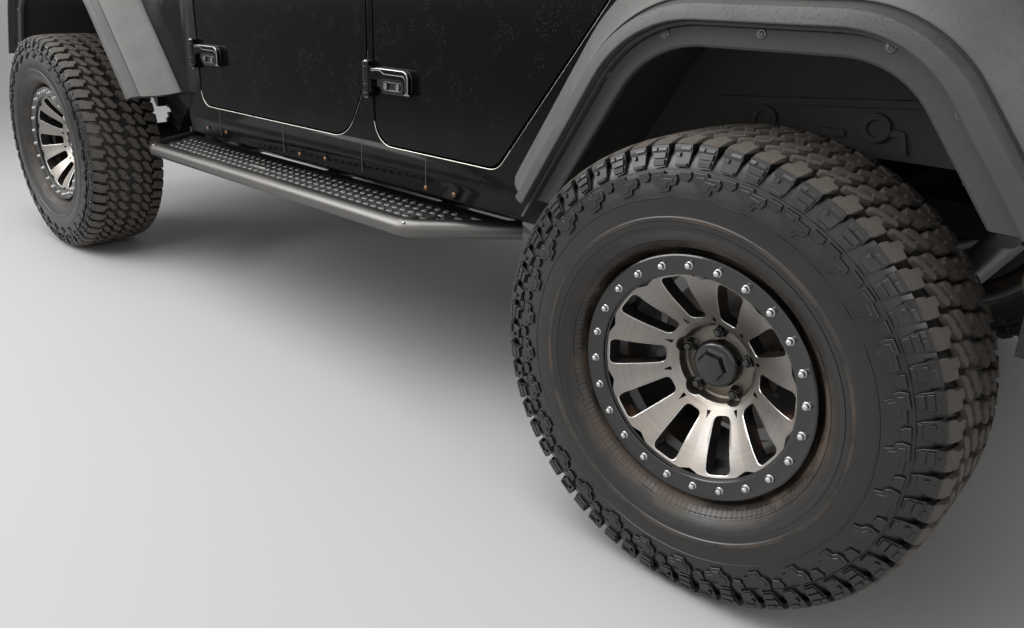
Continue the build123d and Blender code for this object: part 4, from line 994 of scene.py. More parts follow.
def cut_corners(outline: Sequence[Pair], size: float, steps: int = 3) -> list[Pair]:
    """An outline with each corner rounded by a short arc.

    Args:
        outline: the corners.
        size: how far from a corner its arc starts.
        steps: how many parts an arc has.

    Returns:
        The rounded outline.
    """
    if size <= 0:
        return list(outline)
    rounded = []
    for i, here in enumerate(outline):
        corner = Vector(here)
        back = (Vector(outline[i - 1]) - corner)
        on = (Vector(outline[(i + 1) % len(outline)]) - corner)
        reach = min(size, back.length * 0.49, on.length * 0.49)
        start, end = corner + back.normalized() * reach, corner + on.normalized() * reach
        for k in range(steps + 1):
            t = k / steps
            place = start * (1 - t) ** 2 + corner * 2 * t * (1 - t) + end * t * t
            rounded.append((place.x, place.y))
    return rounded


def rounded(corners: Sequence[tuple[float, float, float]], steps: int = 8, closed: bool = True) -> list[Pair]:
    """A line or outline whose corners are true arcs.

    Args:
        corners: each corner's two coordinates and its radius.
        steps: spans along each arc.
        closed: whether the last corner joins the first.

    Returns:
        The line's points.
    """
    line: list[Pair] = []
    count = len(corners)
    for i, (u, v, radius) in enumerate(corners):
        corner = Vector((u, v))
        if radius <= 0 or (not closed and i in (0, count - 1)):
            line.append((u, v))
            continue
        back = (Vector(corners[i - 1][:2]) - corner).normalized()
        on = (Vector(corners[(i + 1) % count][:2]) - corner).normalized()
        half = back.angle(on) / 2
        centre = corner + (back + on).normalized() * (radius / math.sin(half))
        start = corner + back * (radius / math.tan(half)) - centre
        end = corner + on * (radius / math.tan(half)) - centre
        sweep = math.pi - 2 * half
        for k in range(steps + 1):
            share = k / steps
            arm = (start * math.sin((1 - share) * sweep) + end * math.sin(share * sweep)) / math.sin(sweep)
            line.append(tuple(centre + arm))
    return line


def turns(count: int) -> list[float]:
    """Even angles round a circle."""
    return [math.tau * i / count for i in range(count)]


def smooth_line(keys: Sequence[Pair], per_span: int) -> list[Pair]:
    """A smooth line through key points.

    Args:
        keys: the points.
        per_span: how many parts a span has.

    Returns:
        The line.
    """
    count = len(keys)
    line = []
    for i in range(count - 1):
        a, b, c, d = (Vector(keys[min(max(j, 0), count - 1)]) for j in (i - 1, i, i + 1, i + 2))
        for k in range(per_span):
            t = k / per_span
            place = b * 2 + (c - a) * t + (a * 2 - b * 5 + c * 4 - d) * t * t
            place = (place + (b * 3 - a - c * 3 + d) * t ** 3) / 2
            line.append((place.x, place.y))
    line.append(tuple(keys[-1]))
    return line


def lookup(line: Sequence[Pair], value: float) -> float:
    """The second coordinate of a line at a first coordinate, whichever way the line runs.

    Args:
        line: the line's points in order.
        value: the first coordinate.

    Returns:
        The second coordinate.
    """
    for (a, fa), (b, fb) in zip(line, line[1:]):
        if min(a, b) <= value <= max(a, b) and a != b:
            return fa + (fb - fa) * (value - a) / (b - a)
    nearest = min(line, key=lambda pair: abs(pair[0] - value))
    return nearest[1]


def piece(name: str, mesh: bpy.types.Mesh, body: str, place: Matrix | None = None,
          replaced: Sequence[str] = ()) -> bpy.types.Object:
    """Shows one mesh as a piece of the vehicle.

    Args:
        name: the piece's name.
        mesh: its mesh.
        body: the body that it rides on.
        place: where it stands, or None for the vehicle's own frame.
        replaced: nodes that it stands for.

    Returns:
        The new object.
    """
    made = bpy.data.objects.new(name, mesh)
    bpy.context.scene.collection.objects.link(made)
    if place is not None:
        made.matrix_world = place
    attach(made, body)
    if replaced:
        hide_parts(*replaced)
    log.info("piece %s on %s: %d faces", name, body, len(mesh.polygons))
    return made


# Wheels


@dataclass
class Tyre:
    """An all-terrain tyre in its own frame: the axle is y and the outer side is +y."""

    radius: float = 0.440
    units: int = 29
    groove: float = 0.0125
    bevel: float = 0.0008
    mm: float = 0.001
    crown: list[Pair] = field(default_factory=lambda: smooth_line([(0.0, 0.4400), (0.050, 0.4398),
            (0.085, 0.4388), (0.110, 0.4365), (0.128, 0.4325), (0.1395, 0.4270)], 4))
    flank: list[Pair] = field(default_factory=lambda: smooth_line(
        [(0.4270, 0.1395), (0.4100, 0.1465), (0.3870, 0.1520), (0.3500, 0.1570), (0.3200, 0.1590)], 4))
    wall: list[Pair] = field(default_factory=lambda: smooth_line(
        [(0.4120, 0.1330), (0.4000, 0.1400), (0.3870, 0.1448), (0.3650, 0.1500), (0.3450, 0.1535),
         (0.3200, 0.1555), (0.2950, 0.1540), (0.2760, 0.1480), (0.2600, 0.1375), (0.2480, 0.1240),
         (0.2400, 0.1090), (0.2340, 0.1000)], 4))

    def on_tread(self, shift: float, side: float) -> Callable[[float, float, float], Point]:
        """Places (mm along the tread, mm from its centre, height) on one unit's tread.

        Args:
            shift: the unit's place, in units.
            side: 1 or -1.

        Returns:
            The placing function.
        """
        length = math.tau * self.radius / self.units

        def place(t: float, v: float, height: float) -> Point:
            """One point of the tread.

            Args:
                t: mm along the tread.
                v: mm from the centre.
                height: metres above the surface.

            Returns:
                The point.
            """
            angle = (shift + side * t * self.mm / length) * math.tau / self.units
            radius = lookup(self.crown, min(abs(v) * self.mm, 0.1395)) + height
            return polar(radius, angle, v * self.mm * side)

        return place

    def on_flank(self, shift: float, side: float) -> Callable[[float, float, float], Point]:
        """Places (mm along the tread, radius in mm, height) on one unit's side.

        Args:
            shift: the unit's place, in units.
            side: 1 or -1.

        Returns:
            The placing function.
        """
        length = math.tau * self.radius / self.units

        def place(t: float, q: float, height: float) -> Point:
            """One point of the side."""
            angle = (shift + side * t * self.mm / length) * math.tau / self.units
            return polar(q * self.mm, angle, (lookup(self.flank, q * self.mm) + height) * side)

        return place

    def carcass(self, shape: Shape) -> None:
        """The smooth casing under the tread blocks, from bead to bead.

        Args:
            shape: what the faces are added to.
        """
        under = [(lookup(self.crown, v) - self.groove, v) for v in (0.0, 0.030, 0.060, 0.085, 0.105, 0.120)]
        half = under + [(q, y) for q, y in self.wall]
        half += [(0.2200, 0.0980), (0.2170, 0.0850), (0.2500, 0.1000), (0.3200, 0.1300), (0.4000, 0.1150),
                 (0.4130, 0.0)]
        outer = half[:-1]
        section = outer + [half[-1]] + [(r, -y) for r, y in reversed(outer[1:])]
        shape.revolve(section, self.units * 8, closed=True)

    def tread(self, shape: Shape) -> None:
        """Shoulder blocks and two staggered rows of slanted blocks, on each side of the centre.

        Args:
            shape: what the faces are added to.
        """
        shoulder = [(3, 139.5), (4, 128), (7, 116), (11, 115), (13, 100), (14, 90), (25, 87), (29, 90),
                    (30, 98), (43, 101), (42, 113), (40, 128), (37, 139.5)]
        second = [(-3, 84), (3, 87), (11, 84), (22, 76), (25, 78), (35, 73), (44, 62), (43, 54), (36, 51),
                  (28, 55), (22, 61), (17, 60), (8, 66), (0, 75)]
        third = [(3, 43), (8, 47), (17, 45), (27, 37), (31, 39), (40, 33), (49, 21), (47, 10), (40, 5),
                 (31, 10), (25, 18), (20, 17), (10, 22), (4, 32)]
        sipes = {"shoulder": ((11, 4, 9), (4, 4, 8)), "second": ((6, 3, 7), (13, 3, 7)),
                 "third": ((5, 3, 7), (11, 3, 7))}
        pitch = math.tau * self.radius / self.units / 2 / self.mm
        levels = [(-self.groove, -0.0015 / self.mm), (-self.bevel, 0.0), (0.0, self.bevel / self.mm)]
        # (outline, name, stretch and shift of the second block of each pair)
        rows = ((shoulder, "shoulder", 1.0, 0.0), (second, "second", 0.94, -2.6), (third, "third", 0.95, 2.2))
        for unit in range(self.units):
            for side in (1.0, -1.0):
                place = self.on_tread(unit if side > 0 else unit + 0.27, side)
                for outline, name, stretch, shift in rows:
                    cut = notched(outline, sipes[name])
                    for copy in (0, 1):
                        length = stretch if copy else 1.0
                        moved = [(u * length + copy * (pitch + shift), v) for u, v in cut]
                        shape.prism(moved, levels, place)

    def sides(self, shape: Shape) -> None:
        """Side lugs: a buttress with raised bars under each shoulder block, and the hooked tier below.

        Args:
            shape: what the faces are added to.
        """
        pitch = math.tau * self.radius / self.units / 2 / self.mm
        buttress = [(3, 427), (37, 427), (36, 405), (33, 391), (9, 389), (5, 398)]
        # (start, end, lowest radius, highest radius) of the bars
        bars_even = ((18, 34, 418, 423), (7, 33, 406, 415), (8, 31, 394, 403), (4, 14, 418, 424))
        bars_odd = ((16, 35, 419, 424), (10, 16, 408, 414), (8, 31, 392, 397))
        hook = [(3, 383), (30, 384), (33, 378), (58, 378), (62, 370), (58, 361), (45, 359), (42, 350),
                (17, 348), (13, 359), (4, 363), (0, 372)]
        tooth = [(66, 383), (90, 383), (92, 374), (84, 367), (70, 369), (66, 375)]
        inner_hook = [(9, 377), (26, 378), (29, 372), (52, 371), (52, 366), (40, 364), (37, 356), (21, 354),
                      (18, 364), (9, 368)]
        low = -0.009
        for unit in range(self.units):
            for side in (1.0, -1.0):
                place = self.on_flank(unit if side > 0 else unit + 0.27, side)
                for copy, bars in ((0, bars_even), (1, bars_odd)):
                    start = copy * pitch
                    body = [(u + start, q) for u, q in buttress]
                    shape.prism(body, [(low, 0.0), (-0.0035, 0.0), (-0.003, 0.5)], place)
                    for t0, t1, q0, q1 in bars:
                        bar = [(t0 + start, q0), (t1 + start, q0), (t1 + start + 0.5, q1), (t0 + start, q1)]
                        shape.prism(bar, [(-0.0035, 0.0), (-0.0004, 0.0), (0.0, 0.5)], place)
                for outline, top in ((hook, 0.0), (tooth, -0.0006), (inner_hook, 0.0016)):
                    foot = low if top < 0.001 else -0.0005
                    shape.prism(outline, [(foot, 0.0), (top - 0.0006, 0.0), (top, 0.6)], place)

    def rings(self, shape: Shape) -> None:
        """The thin raised lines that run round each side.

        Args:
            shape: what the faces are added to.
        """
        # (radius, width, height)
        for radius, width, height in ((0.3868, 0.0016, 0.0016), (0.3390, 0.0024, 0.0012),
                (0.3020, 0.0060, 0.0016), (0.2870, 0.0020, 0.0012), (0.2590, 0.0022, 0.0014),
                (0.2470, 0.0022, 0.0014)):
            for side in (1.0, -1.0):
                edges = [radius + shift * width for shift in (-1, -0.5, 0.5, 1)]
                at = [(edge, lookup(self.wall, edge)) for edge in edges]
                lift = (-0.001, height, height, -0.001)
                shape.revolve([(r, (y + up) * side) for (r, y), up in zip(at, lift)], 116)

    def mesh(self) -> bpy.types.Mesh:
        """The whole tyre.

        Returns:
            The mesh.
        """
        shape = Shape()
        self.carcass(shape)
        self.tread(shape)
        self.sides(shape)
        self.rings(shape)
        return shape.mesh("tyre", [RUBBER], 28.0)


def notched(outline: Sequence[Pair], sipes: Sequence[tuple[int, float, float]]) -> list[Pair]:
    """An outline with thin slits cut into it.

    Args:
        outline: corners in mm.
        sipes: for each slit, the corner that it starts after, its distance along and its depth.

    Returns:
        The outline with the slits' corners.
    """
    way = 1.0 if signed_area(outline) > 0 else -1.0
    cuts = {start: (along, depth) for start, along, depth in sipes}
    slit = 0.55
    cut = []
    for i, here in enumerate(outline):
        cut.append(here)
        if i not in cuts:
            continue
        along, depth = cuts[i]
        corner, after = Vector(here), Vector(outline[(i + 1) % len(outline)])
        on = (after - corner).normalized()
        inward = Vector((-on.y, on.x)) * way
        if (after - corner).length < along + 2 * slit:
            continue
        for reach, sink in ((along - slit, 0.0), (along - slit, depth), (along + slit, depth),
                            (along + slit, 0.0)):
            place = corner + on * reach + inward * sink
            cut.append((place.x, place.y))
    return cut


@dataclass
class Wheel:
    """A ten-window alloy wheel with a bolted ring, in its own frame like the tyre's."""

    lip: float = 0.123
    bolt_circle: float = 0.213
    bolts: int = 24
    bolt_phase: float = math.radians(7.6)
    windows: int = 10
    window_phase: float = math.radians(-3.0)
    window_reach: Pair = (0.097, 0.189)
    window_half: Pair = (0.0165, 0.0265)
    lugs: int = 5
    lug_circle: float = 0.0635
    lug_phase: float = math.radians(15.0)
    recess: float = 0.076
    face: list[Pair] = field(default_factory=lambda: [(0.0745, 0.0330), (0.0775, 0.0352), (0.0970, 0.0490),
            (0.1425, 0.0828), (0.1435, 0.0834), (0.1655, 0.0972), (0.1668, 0.0978), (0.1915, 0.1090),
            (0.1932, 0.1100)])

    def face_height(self, radius: float) -> float:
        """The dished face's height at a radius."""
        return lookup(self.face, radius)

    def window(self, grow: float) -> list[Pair]:
        """One window's outline as (radius, offset across the spoke).

        Args:
            grow: how far it is grown outwards.

        Returns:
            The outline.
        """
        (inner, outer), (narrow, wide) = self.window_reach, self.window_half
        corners = [(inner - grow, -narrow - grow), (outer + grow, -wide - grow), (outer + grow, wide + grow),
                   (inner - grow, narrow + grow)]
        turns = (0.010, 0.013, 0.013, 0.010)
        rounded = []
        for i, here in enumerate(corners):
            corner = Vector(here)
            back = (Vector(corners[i - 1]) - corner).normalized()
            on = (Vector(corners[(i + 1) % 4]) - corner).normalized()
            reach = turns[i] + grow
            for k in range(6):
                t = k / 5
                start, end = corner + back * reach, corner + on * reach
                place = start * (1 - t) ** 2 + corner * 2 * t * (1 - t) + end * t * t
                rounded.append((place.x, place.y))
            after = Vector(corners[(i + 1) % 4])
            start, end = corner + on * reach, after - on * (turns[(i + 1) % 4] + grow)
            for k in range(1, 5):
                place = start.lerp(end, k / 5)
                rounded.append((place.x, place.y))
        return rounded

    def sector(self, shape: Shape, middle: float) -> None:
        """One window with the face round it, and the walls down to the back.

        Args:
            shape: what the faces are added to.
            middle: the window's angle.
        """
        half = math.pi / self.windows
        low, high = 0.0905, 0.1932
        hole = self.window(0.0)
        edge = self.window(0.0012)

        def flat(pair: Pair, height: float) -> Point:
            """A point of the face from (radius, offset) about the window's middle."""
            angle = middle + math.atan2(pair[1], pair[0])
            return polar(math.hypot(*pair), angle, height)

        def border(pair: Pair) -> tuple[float, float]:
            """The sector's border point, as (radius, angle), straight out from the window's middle.

            Args:
                pair: a point of the window's outline.

            Returns:
                The border point.
            """
            centre = (self.window_reach[0] + self.window_reach[1]) / 2
            radius, angle = math.hypot(*pair) - centre, math.atan2(pair[1], pair[0])
            stretch = min((high - centre) / radius if radius > 1e-9 else 9e9,
                          (low - centre) / radius if radius < -1e-9 else 9e9,
                          half / abs(angle) if abs(angle) > 1e-9 else 9e9)
            return centre + radius * stretch, angle * stretch

        tops = [self.face_height(math.hypot(*pair)) for pair in edge]
        rings = [shape.ring(flat(pair, top) for pair, top in zip(edge, tops))]
        for share in (0.25, 0.5, 0.75, 1.0):
            row = []
            for pair in edge:
                radius, angle = math.hypot(*pair), math.atan2(pair[1], pair[0])
                far_radius, far_angle = border(pair)
                r = radius + (far_radius - radius) * share
                a = angle + (far_angle - angle) * share
                row.append(polar(r, middle + a, self.face_height(r)))
            rings.append(shape.ring(row))
        shape.loft(rings, 0)
        rim_edge = shape.ring(flat(pair, top - 0.0010) for pair, top in zip(hole, tops))
        shape.bridge(rings[0], rim_edge, 1)
        deep = shape.ring(flat(pair, top - 0.012) for pair, top in zip(hole, tops))
        shape.bridge(rim_edge, deep, 2)
        back = shape.ring(flat(pair, max(0.006, top - 0.034)) for pair,
                          top in zip(self.window(-0.0012), tops))
        shape.bridge(deep, back, 2)

    def hub(self, shape: Shape) -> None:
        """The inner cone, the recess with its lug pockets, the lug nuts and the centre cap.

        Args:
            shape: what the faces are added to.
        """
        steps = 180

        def wall(angle: float) -> float:
            """The recess wall's radius, scalloped outwards at each lug nut.

            Args:
                angle: the angle about the hub.

            Returns:
                The radius.
            """
            turn = (angle - self.lug_phase) * self.lugs / math.tau
            off = abs(turn - round(turn)) * math.tau / self.lugs * self.lug_circle
            pocket = self.lug_circle + math.sqrt(max(0.0, 0.0170 ** 2 - off ** 2)) if off < 0.0170 else 0.0
            return max(self.recess, pocket + 0.0035 if pocket else 0.0)

        angles = [math.tau * i / steps for i in range(steps)]
        cone = [shape.ring(polar(r, a, self.face_height(r)) for a in angles) for r in (0.0905, 0.0860)]
        shape.bridge(cone[0], cone[1], 0)
        mouth = shape.ring(polar(wall(a) + 0.0014, a, self.face_height(wall(a) + 0.0014)) for a in angles)
        shape.bridge(cone[1], mouth, 0)
        lip = shape.ring(polar(wall(a), a, self.face_height(wall(a)) - 0.0012) for a in angles)
        shape.bridge(mouth, lip, 1)
        foot = shape.ring(polar(wall(a) - 0.002, a, 0.0135) for a in angles)
        shape.bridge(lip, foot, 3)
        floor = shape.ring(polar(wall(a) - 0.0055, a, 0.0105) for a in angles)
        shape.bridge(foot, floor, 3)
        middle = shape.ring(polar(0.052, a, 0.0125) for a in angles)
        shape.bridge(floor, middle, 3)
        inner = shape.ring(polar(0.044, a, 0.0130) for a in angles)
        shape.bridge(middle, inner, 3)
        for i in range(self.lugs):
            angle = self.lug_phase + i * math.tau / self.lugs
            centre = polar(self.lug_circle, angle, 0.0)
            nut = lathe(([(0.0, 0.0365), (0.0055, 0.0360), (0.0078, 0.0335), (0.0086, 0.0300)], 12, 4),
                        ([(0.0104, 0.0298), (0.0108, 0.0285), (0.0108, 0.0160), (0.0140, 0.0135),
                          (0.0140, 0.0100)], 6, 4), ([(0.0086, 0.0300), (0.0104, 0.0298)], 6, 4))
            shape.add(nut, Matrix.Translation(centre))
        cap = [(0.0, 0.0560), (0.0225, 0.0560), (0.0262, 0.0552)]
        shape.revolve(cap, 6, 5, start=math.radians(4))
        shape.revolve([(0.0262, 0.0552), (0.0278, 0.0530), (0.0285, 0.0420), (0.0345, 0.0388)], 6, 5,
                      start=math.radians(4))
        shape.revolve([(0.0290, 0.0392), (0.0385, 0.0388), (0.0420, 0.0372), (0.0452, 0.0330),
                       (0.0468, 0.0270), (0.0470, 0.0120)], 48, 5)

    def ring(self, shape: Shape) -> None:
        """The bolted outer ring with its steps, and 24 domed bolts in spot-faced seats.

        Args:
            shape: what the faces are added to.
        """
        profile = [(0.1932, 0.1100), (0.1936, 0.1120), (0.1962, 0.1128), (0.1966, 0.1180), (0.1986, 0.1196),
                   (0.2010, 0.1202), (0.2230, 0.1206), (0.2262, 0.1222), (0.2300, self.lip), (0.2328, 0.1216),
                   (0.2340, 0.1180), (0.2338, 0.1090), (0.2180, 0.1040), (0.2120, 0.1000)]
        shape.revolve(profile, 144, 5)
        for i in range(self.bolts):
            angle = self.bolt_phase + i * math.tau / self.bolts
            bolt = lathe(([(0.0072, 0.1200), (0.0072, 0.1212), (0.0064, 0.1218), (0.0058, 0.1218)], 20, 6),
                         ([(0.0058, 0.1218), (0.0057, 0.1262), (0.0049, 0.1284), (0.0030, 0.1296),
                           (0.0, 0.1300)], 12, 6))
            shape.add(bolt, Matrix.Translation(polar(self.bolt_circle, angle, 0.0)))

    def barrel(self, shape: Shape) -> None:
        """The drum behind the face, and its far lip.

        Args:
            shape: what the faces are added to.
        """
        profile = [(0.1932, 0.1095), (0.2060, 0.1000), (0.2060, 0.0700), (0.1830, 0.0520),
                   (0.1830, -0.0400), (0.2060, -0.0660), (0.2060, -0.1080), (0.2260, -0.1180),
                   (0.2330, -0.1210), (0.2340, -0.1180), (0.2330, -0.1110), (0.2160, -0.1060),
                   (0.2160, -0.0750), (0.1900, -0.0450), (0.1900, 0.0550), (0.2160, 0.0760),
                   (0.2160, 0.1030)]
        shape.revolve(profile, 96, 7)
        shape.revolve([(0.0920, 0.0100), (0.0800, -0.0115), (0.0, -0.0115)], 60, 7)

    def mesh(self) -> bpy.types.Mesh:
        """The whole wheel.

        Returns:
            The mesh.
        """
        shape = Shape()
        for i in range(self.windows):
            self.sector(shape, self.window_phase + i * math.tau / self.windows)
        self.hub(shape)
        self.ring(shape)
        self.barrel(shape)
        finishes = [ALLOY, STEEL, BARREL, RECESS, ENAMEL, ENAMEL, STEEL, BARREL]
        return shape.mesh("wheel", finishes, 30.0)


def wheel_place(end: End, side: Side) -> Matrix:
    """Where a wheel's own frame stands on the vehicle.

    Args:
        end: front or rear.
        side: left or right.

    Returns:
        The place.
    """
    station = end.value - MID_STATION
    turn = 0.0 if side is Side.LEFT else math.pi
    return Matrix.Translation((station, side.value * WHEEL_Y, AXLE_HEIGHT)) @ Matrix.Rotation(turn, 4, "Z")


def build_wheels() -> None:
    """Four wheels on their hubs and the spare on the tailgate, all from one tyre and one wheel."""
    tyre_mesh = Tyre().mesh()
    wheel_mesh = Wheel().mesh()
    for end in End:
        for side in Side:
            place = wheel_place(end, side)
            body = f"wheel_{end.word}_{side.word}"
            tail = f"{end.word}_{side.word}"
            piece(f"treaded_tyre_{tail}", tyre_mesh, body, place, [f"tyre_{tail}"])
            piece(f"alloy_wheel_{tail}", wheel_mesh, body, place, [f"rim_{tail}"])
    place = Matrix.Translation(SPARE_CENTRE) @ Matrix.Rotation(math.pi / 2, 4, "Z")
    piece("treaded_tyre_spare", tyre_mesh, "tailgate", place, ["spare_tyre"])
    piece("alloy_wheel_spare", wheel_mesh, "tailgate", place, ["spare_rim"])


# Arches, flares and liners


@dataclass(frozen=True)
class Leg:
    """One leg of a wheel arch: reach at the axle's height, lean, corner radius and foot."""

    reach: float
    lean: float
    radius: float
    foot: float


@dataclass(frozen=True)
class Arch:
    """A wheel arch's edge, as stations and heights from the rear axle."""

    end: End
    top: float
    aft: Leg
    fore: Leg

    def on_leg(self, way: int, leg: Leg, grow: float, height: float) -> Pair:
        """A point of one leg at a height."""
        wide = leg.reach + grow / math.cos(math.atan(leg.lean))
        return (self.end.value + way * (wide - leg.lean * height), height)

    def line(self, grow: float, lift: float = 0.0) -> list[Pair]:
        """The edge grown outwards, from the aft foot over the top to the fore foot.

        Args:
            grow: how far the line lies outside the arch's edge.
            lift: how far both of its feet are raised.

        Returns:
            As many points for every growth.
        """
        top = self.top + grow
        corners = [(*self.on_leg(-1, self.aft, grow, self.aft.foot + lift), 0.0),
                   (*self.on_leg(-1, self.aft, grow, top), self.aft.radius + grow),
                   (*self.on_leg(1, self.fore, grow, top), self.fore.radius + grow),
                   (*self.on_leg(1, self.fore, grow, self.fore.foot + lift), 0.0)]
        bends = rounded(corners, 12, False)
        line: list[Pair] = []
        for i, (start, end) in enumerate(zip(bends, bends[1:])):
            parts = {0: 8, 13: 12, 26: 8}.get(i, 1)
            line += [tuple(Vector(start).lerp(Vector(end), k / parts)) for k in range(parts)]
        return line + [bends[-1]]


REAR_ARCH = Arch(End.REAR, 0.621, Leg(0.698, 0.699, 0.211, 0.350), Leg(0.590, 0.598, 0.230, 0.235))
FRONT_ARCH = Arch(End.FRONT, 0.640, Leg(0.869, 0.80, 0.250, 0.251), Leg(0.620, 0.40, 0.200, 0.330))


@dataclass
class Flares:
    """The four moulded flares: a sloped face, a groove painted darker as painted shade, a narrow ledge and a
    turned lip.
    """

    root: float = 0.8003
    fender_start: float = 2.425
    fender_slope: float = 0.1374
    # (width from the middle, growth from the lip's edge, lift of the feet, finish)
    # the three groove rows take finish 1, the darker liner plastic, as painted shade in the groove
    face: tuple[tuple[float, float, float, int], ...] = ((0.8003, 0.1300, 0.030, 0),
            (0.8180, 0.1215, 0.026, 0), (0.8380, 0.1085, 0.022, 0), (0.8720, 0.0800, 0.016, 0),
            (0.8970, 0.0540, 0.013, 0), (0.9060, 0.0425, 0.012, 0), (0.9068, 0.0404, 0.012, 1),
            (0.9040, 0.0390, 0.012, 1), (0.9040, 0.0368, 0.012, 1), (0.9088, 0.0354, 0.011, 2),
            (0.9290, 0.0296, 0.010, 2), (0.9340, 0.0270, 0.009, 2), (0.9358, 0.0235, 0.007, 2),
            (0.9395, 0.0120, 0.002, 2), (0.9415, 0.0030, 0.0, 2), (0.9408, 0.0008, 0.0, 2),
            (0.9380, 0.0, 0.0, 2), (0.9000, 0.0, 0.0, 2))

    def inner(self, station: float) -> float:
        """Where the flare's inner edge meets the body or the narrowing fender."""
        return self.root - 0.001 - self.fender_slope * max(0.0, station - self.fender_start)

    def build_one(self, shape: Shape, arch: Arch) -> None:
        """One left flare.

        Args:
            shape: what the faces are added to.
            arch: the wheel arch.
        """
        rows = list(self.face)
        lines = [(arch.line(grow, lift), y, mark) for y, grow, lift, mark in rows]
        rings = []
        if arch.end is End.FRONT:
            first = lines[0][0]
            rings.append((shape.ring((x, self.inner(x), z) for x, z in first), 0))
        rings += [(shape.ring((x, y, z) for x, z in line), mark) for line, y, mark in lines]
        last = arch.line(0.0, 0.0)
        rings.append((shape.ring((x, self.inner(x), z) for x, z in last), 3))
        for (low, _), (high, mark) in zip(rings, rings[1:]):
            shape.bridge(low, high, mark, False)
        for i in (0, -1):
            shape.face([ring[i] for ring, _ in rings][::-1 if i else 1], 2)

    def build(self) -> None:
        """Shows all four."""
        shape = Shape()
        for arch in (REAR_ARCH, FRONT_ARCH):
            self.build_one(shape, arch)
        # finish 1 paints the flare's groove dark: painted shade
        mesh = shape.mirrored().mesh("flares", [FLARE, LINER, LIP, LINER], 26.0)
        piece("moulded_flares", mesh, "chassis", CAR, ["fender_flares"])


@dataclass
class LinerFlanges:
    """The black flange inside each flare's lip, with its push-in screws."""

    face_y: float = 0.9085
    screw_radius: float = 0.0085
    rear_screws: tuple[Pair, ...] = ((0.380, 0.380), (0.279, 0.517), (0.158, 0.594), (-0.022, 0.604),
            (-0.225, 0.596), (-0.335, 0.510))
    front_shares: tuple[int, ...] = (6, 13, 20, 27, 35, 43, 50)

    def screw(self, shape: Shape, x: float, z: float) -> None:
        """One domed screw with its washer.

        Args:
            shape: what the faces are added to.
            x: its station.
            z: its height.
        """
        made = Shape()
        r, y = self.screw_radius, self.face_y
        made.revolve([(r, y - 0.002), (r, y + 0.0012), (r * 0.90, y + 0.0022), (r * 0.62, y + 0.0024)], 16, 1)
        made.revolve([(r * 0.62, y + 0.0024), (r * 0.56, y + 0.0044), (r * 0.30, y + 0.0056),
                      (r * 0.16, y + 0.0050), (0.0, y + 0.0034)], 16, 1)
        shape.add(made, Matrix.Translation((x, 0.0, z)))

    def build(self) -> None:
        """Shows the flanges of all four arches."""
        shape = Shape()
        for arch in (REAR_ARCH, FRONT_ARCH):
            rows = ((0.9000, -0.0075), (0.9072, -0.0078), (self.face_y, -0.0095), (self.face_y, -0.0400),
                    (0.9060, -0.0440), (0.8960, -0.0450))
            rings = [shape.ring((x, y, z) for x, z in arch.line(grow, 0.004)) for y, grow in rows]
            shape.loft(rings, 0, False)
        for x, z in self.rear_screws:
            self.screw(shape, x, z)
        line = FRONT_ARCH.line(-0.026)
        for share in self.front_shares:
            self.screw(shape, *line[share])
        mesh = shape.mirrored().mesh("liner_flanges", [LINER, FASTENER], 30.0)
        piece("liner_flanges", mesh, "chassis", CAR)


# Steps


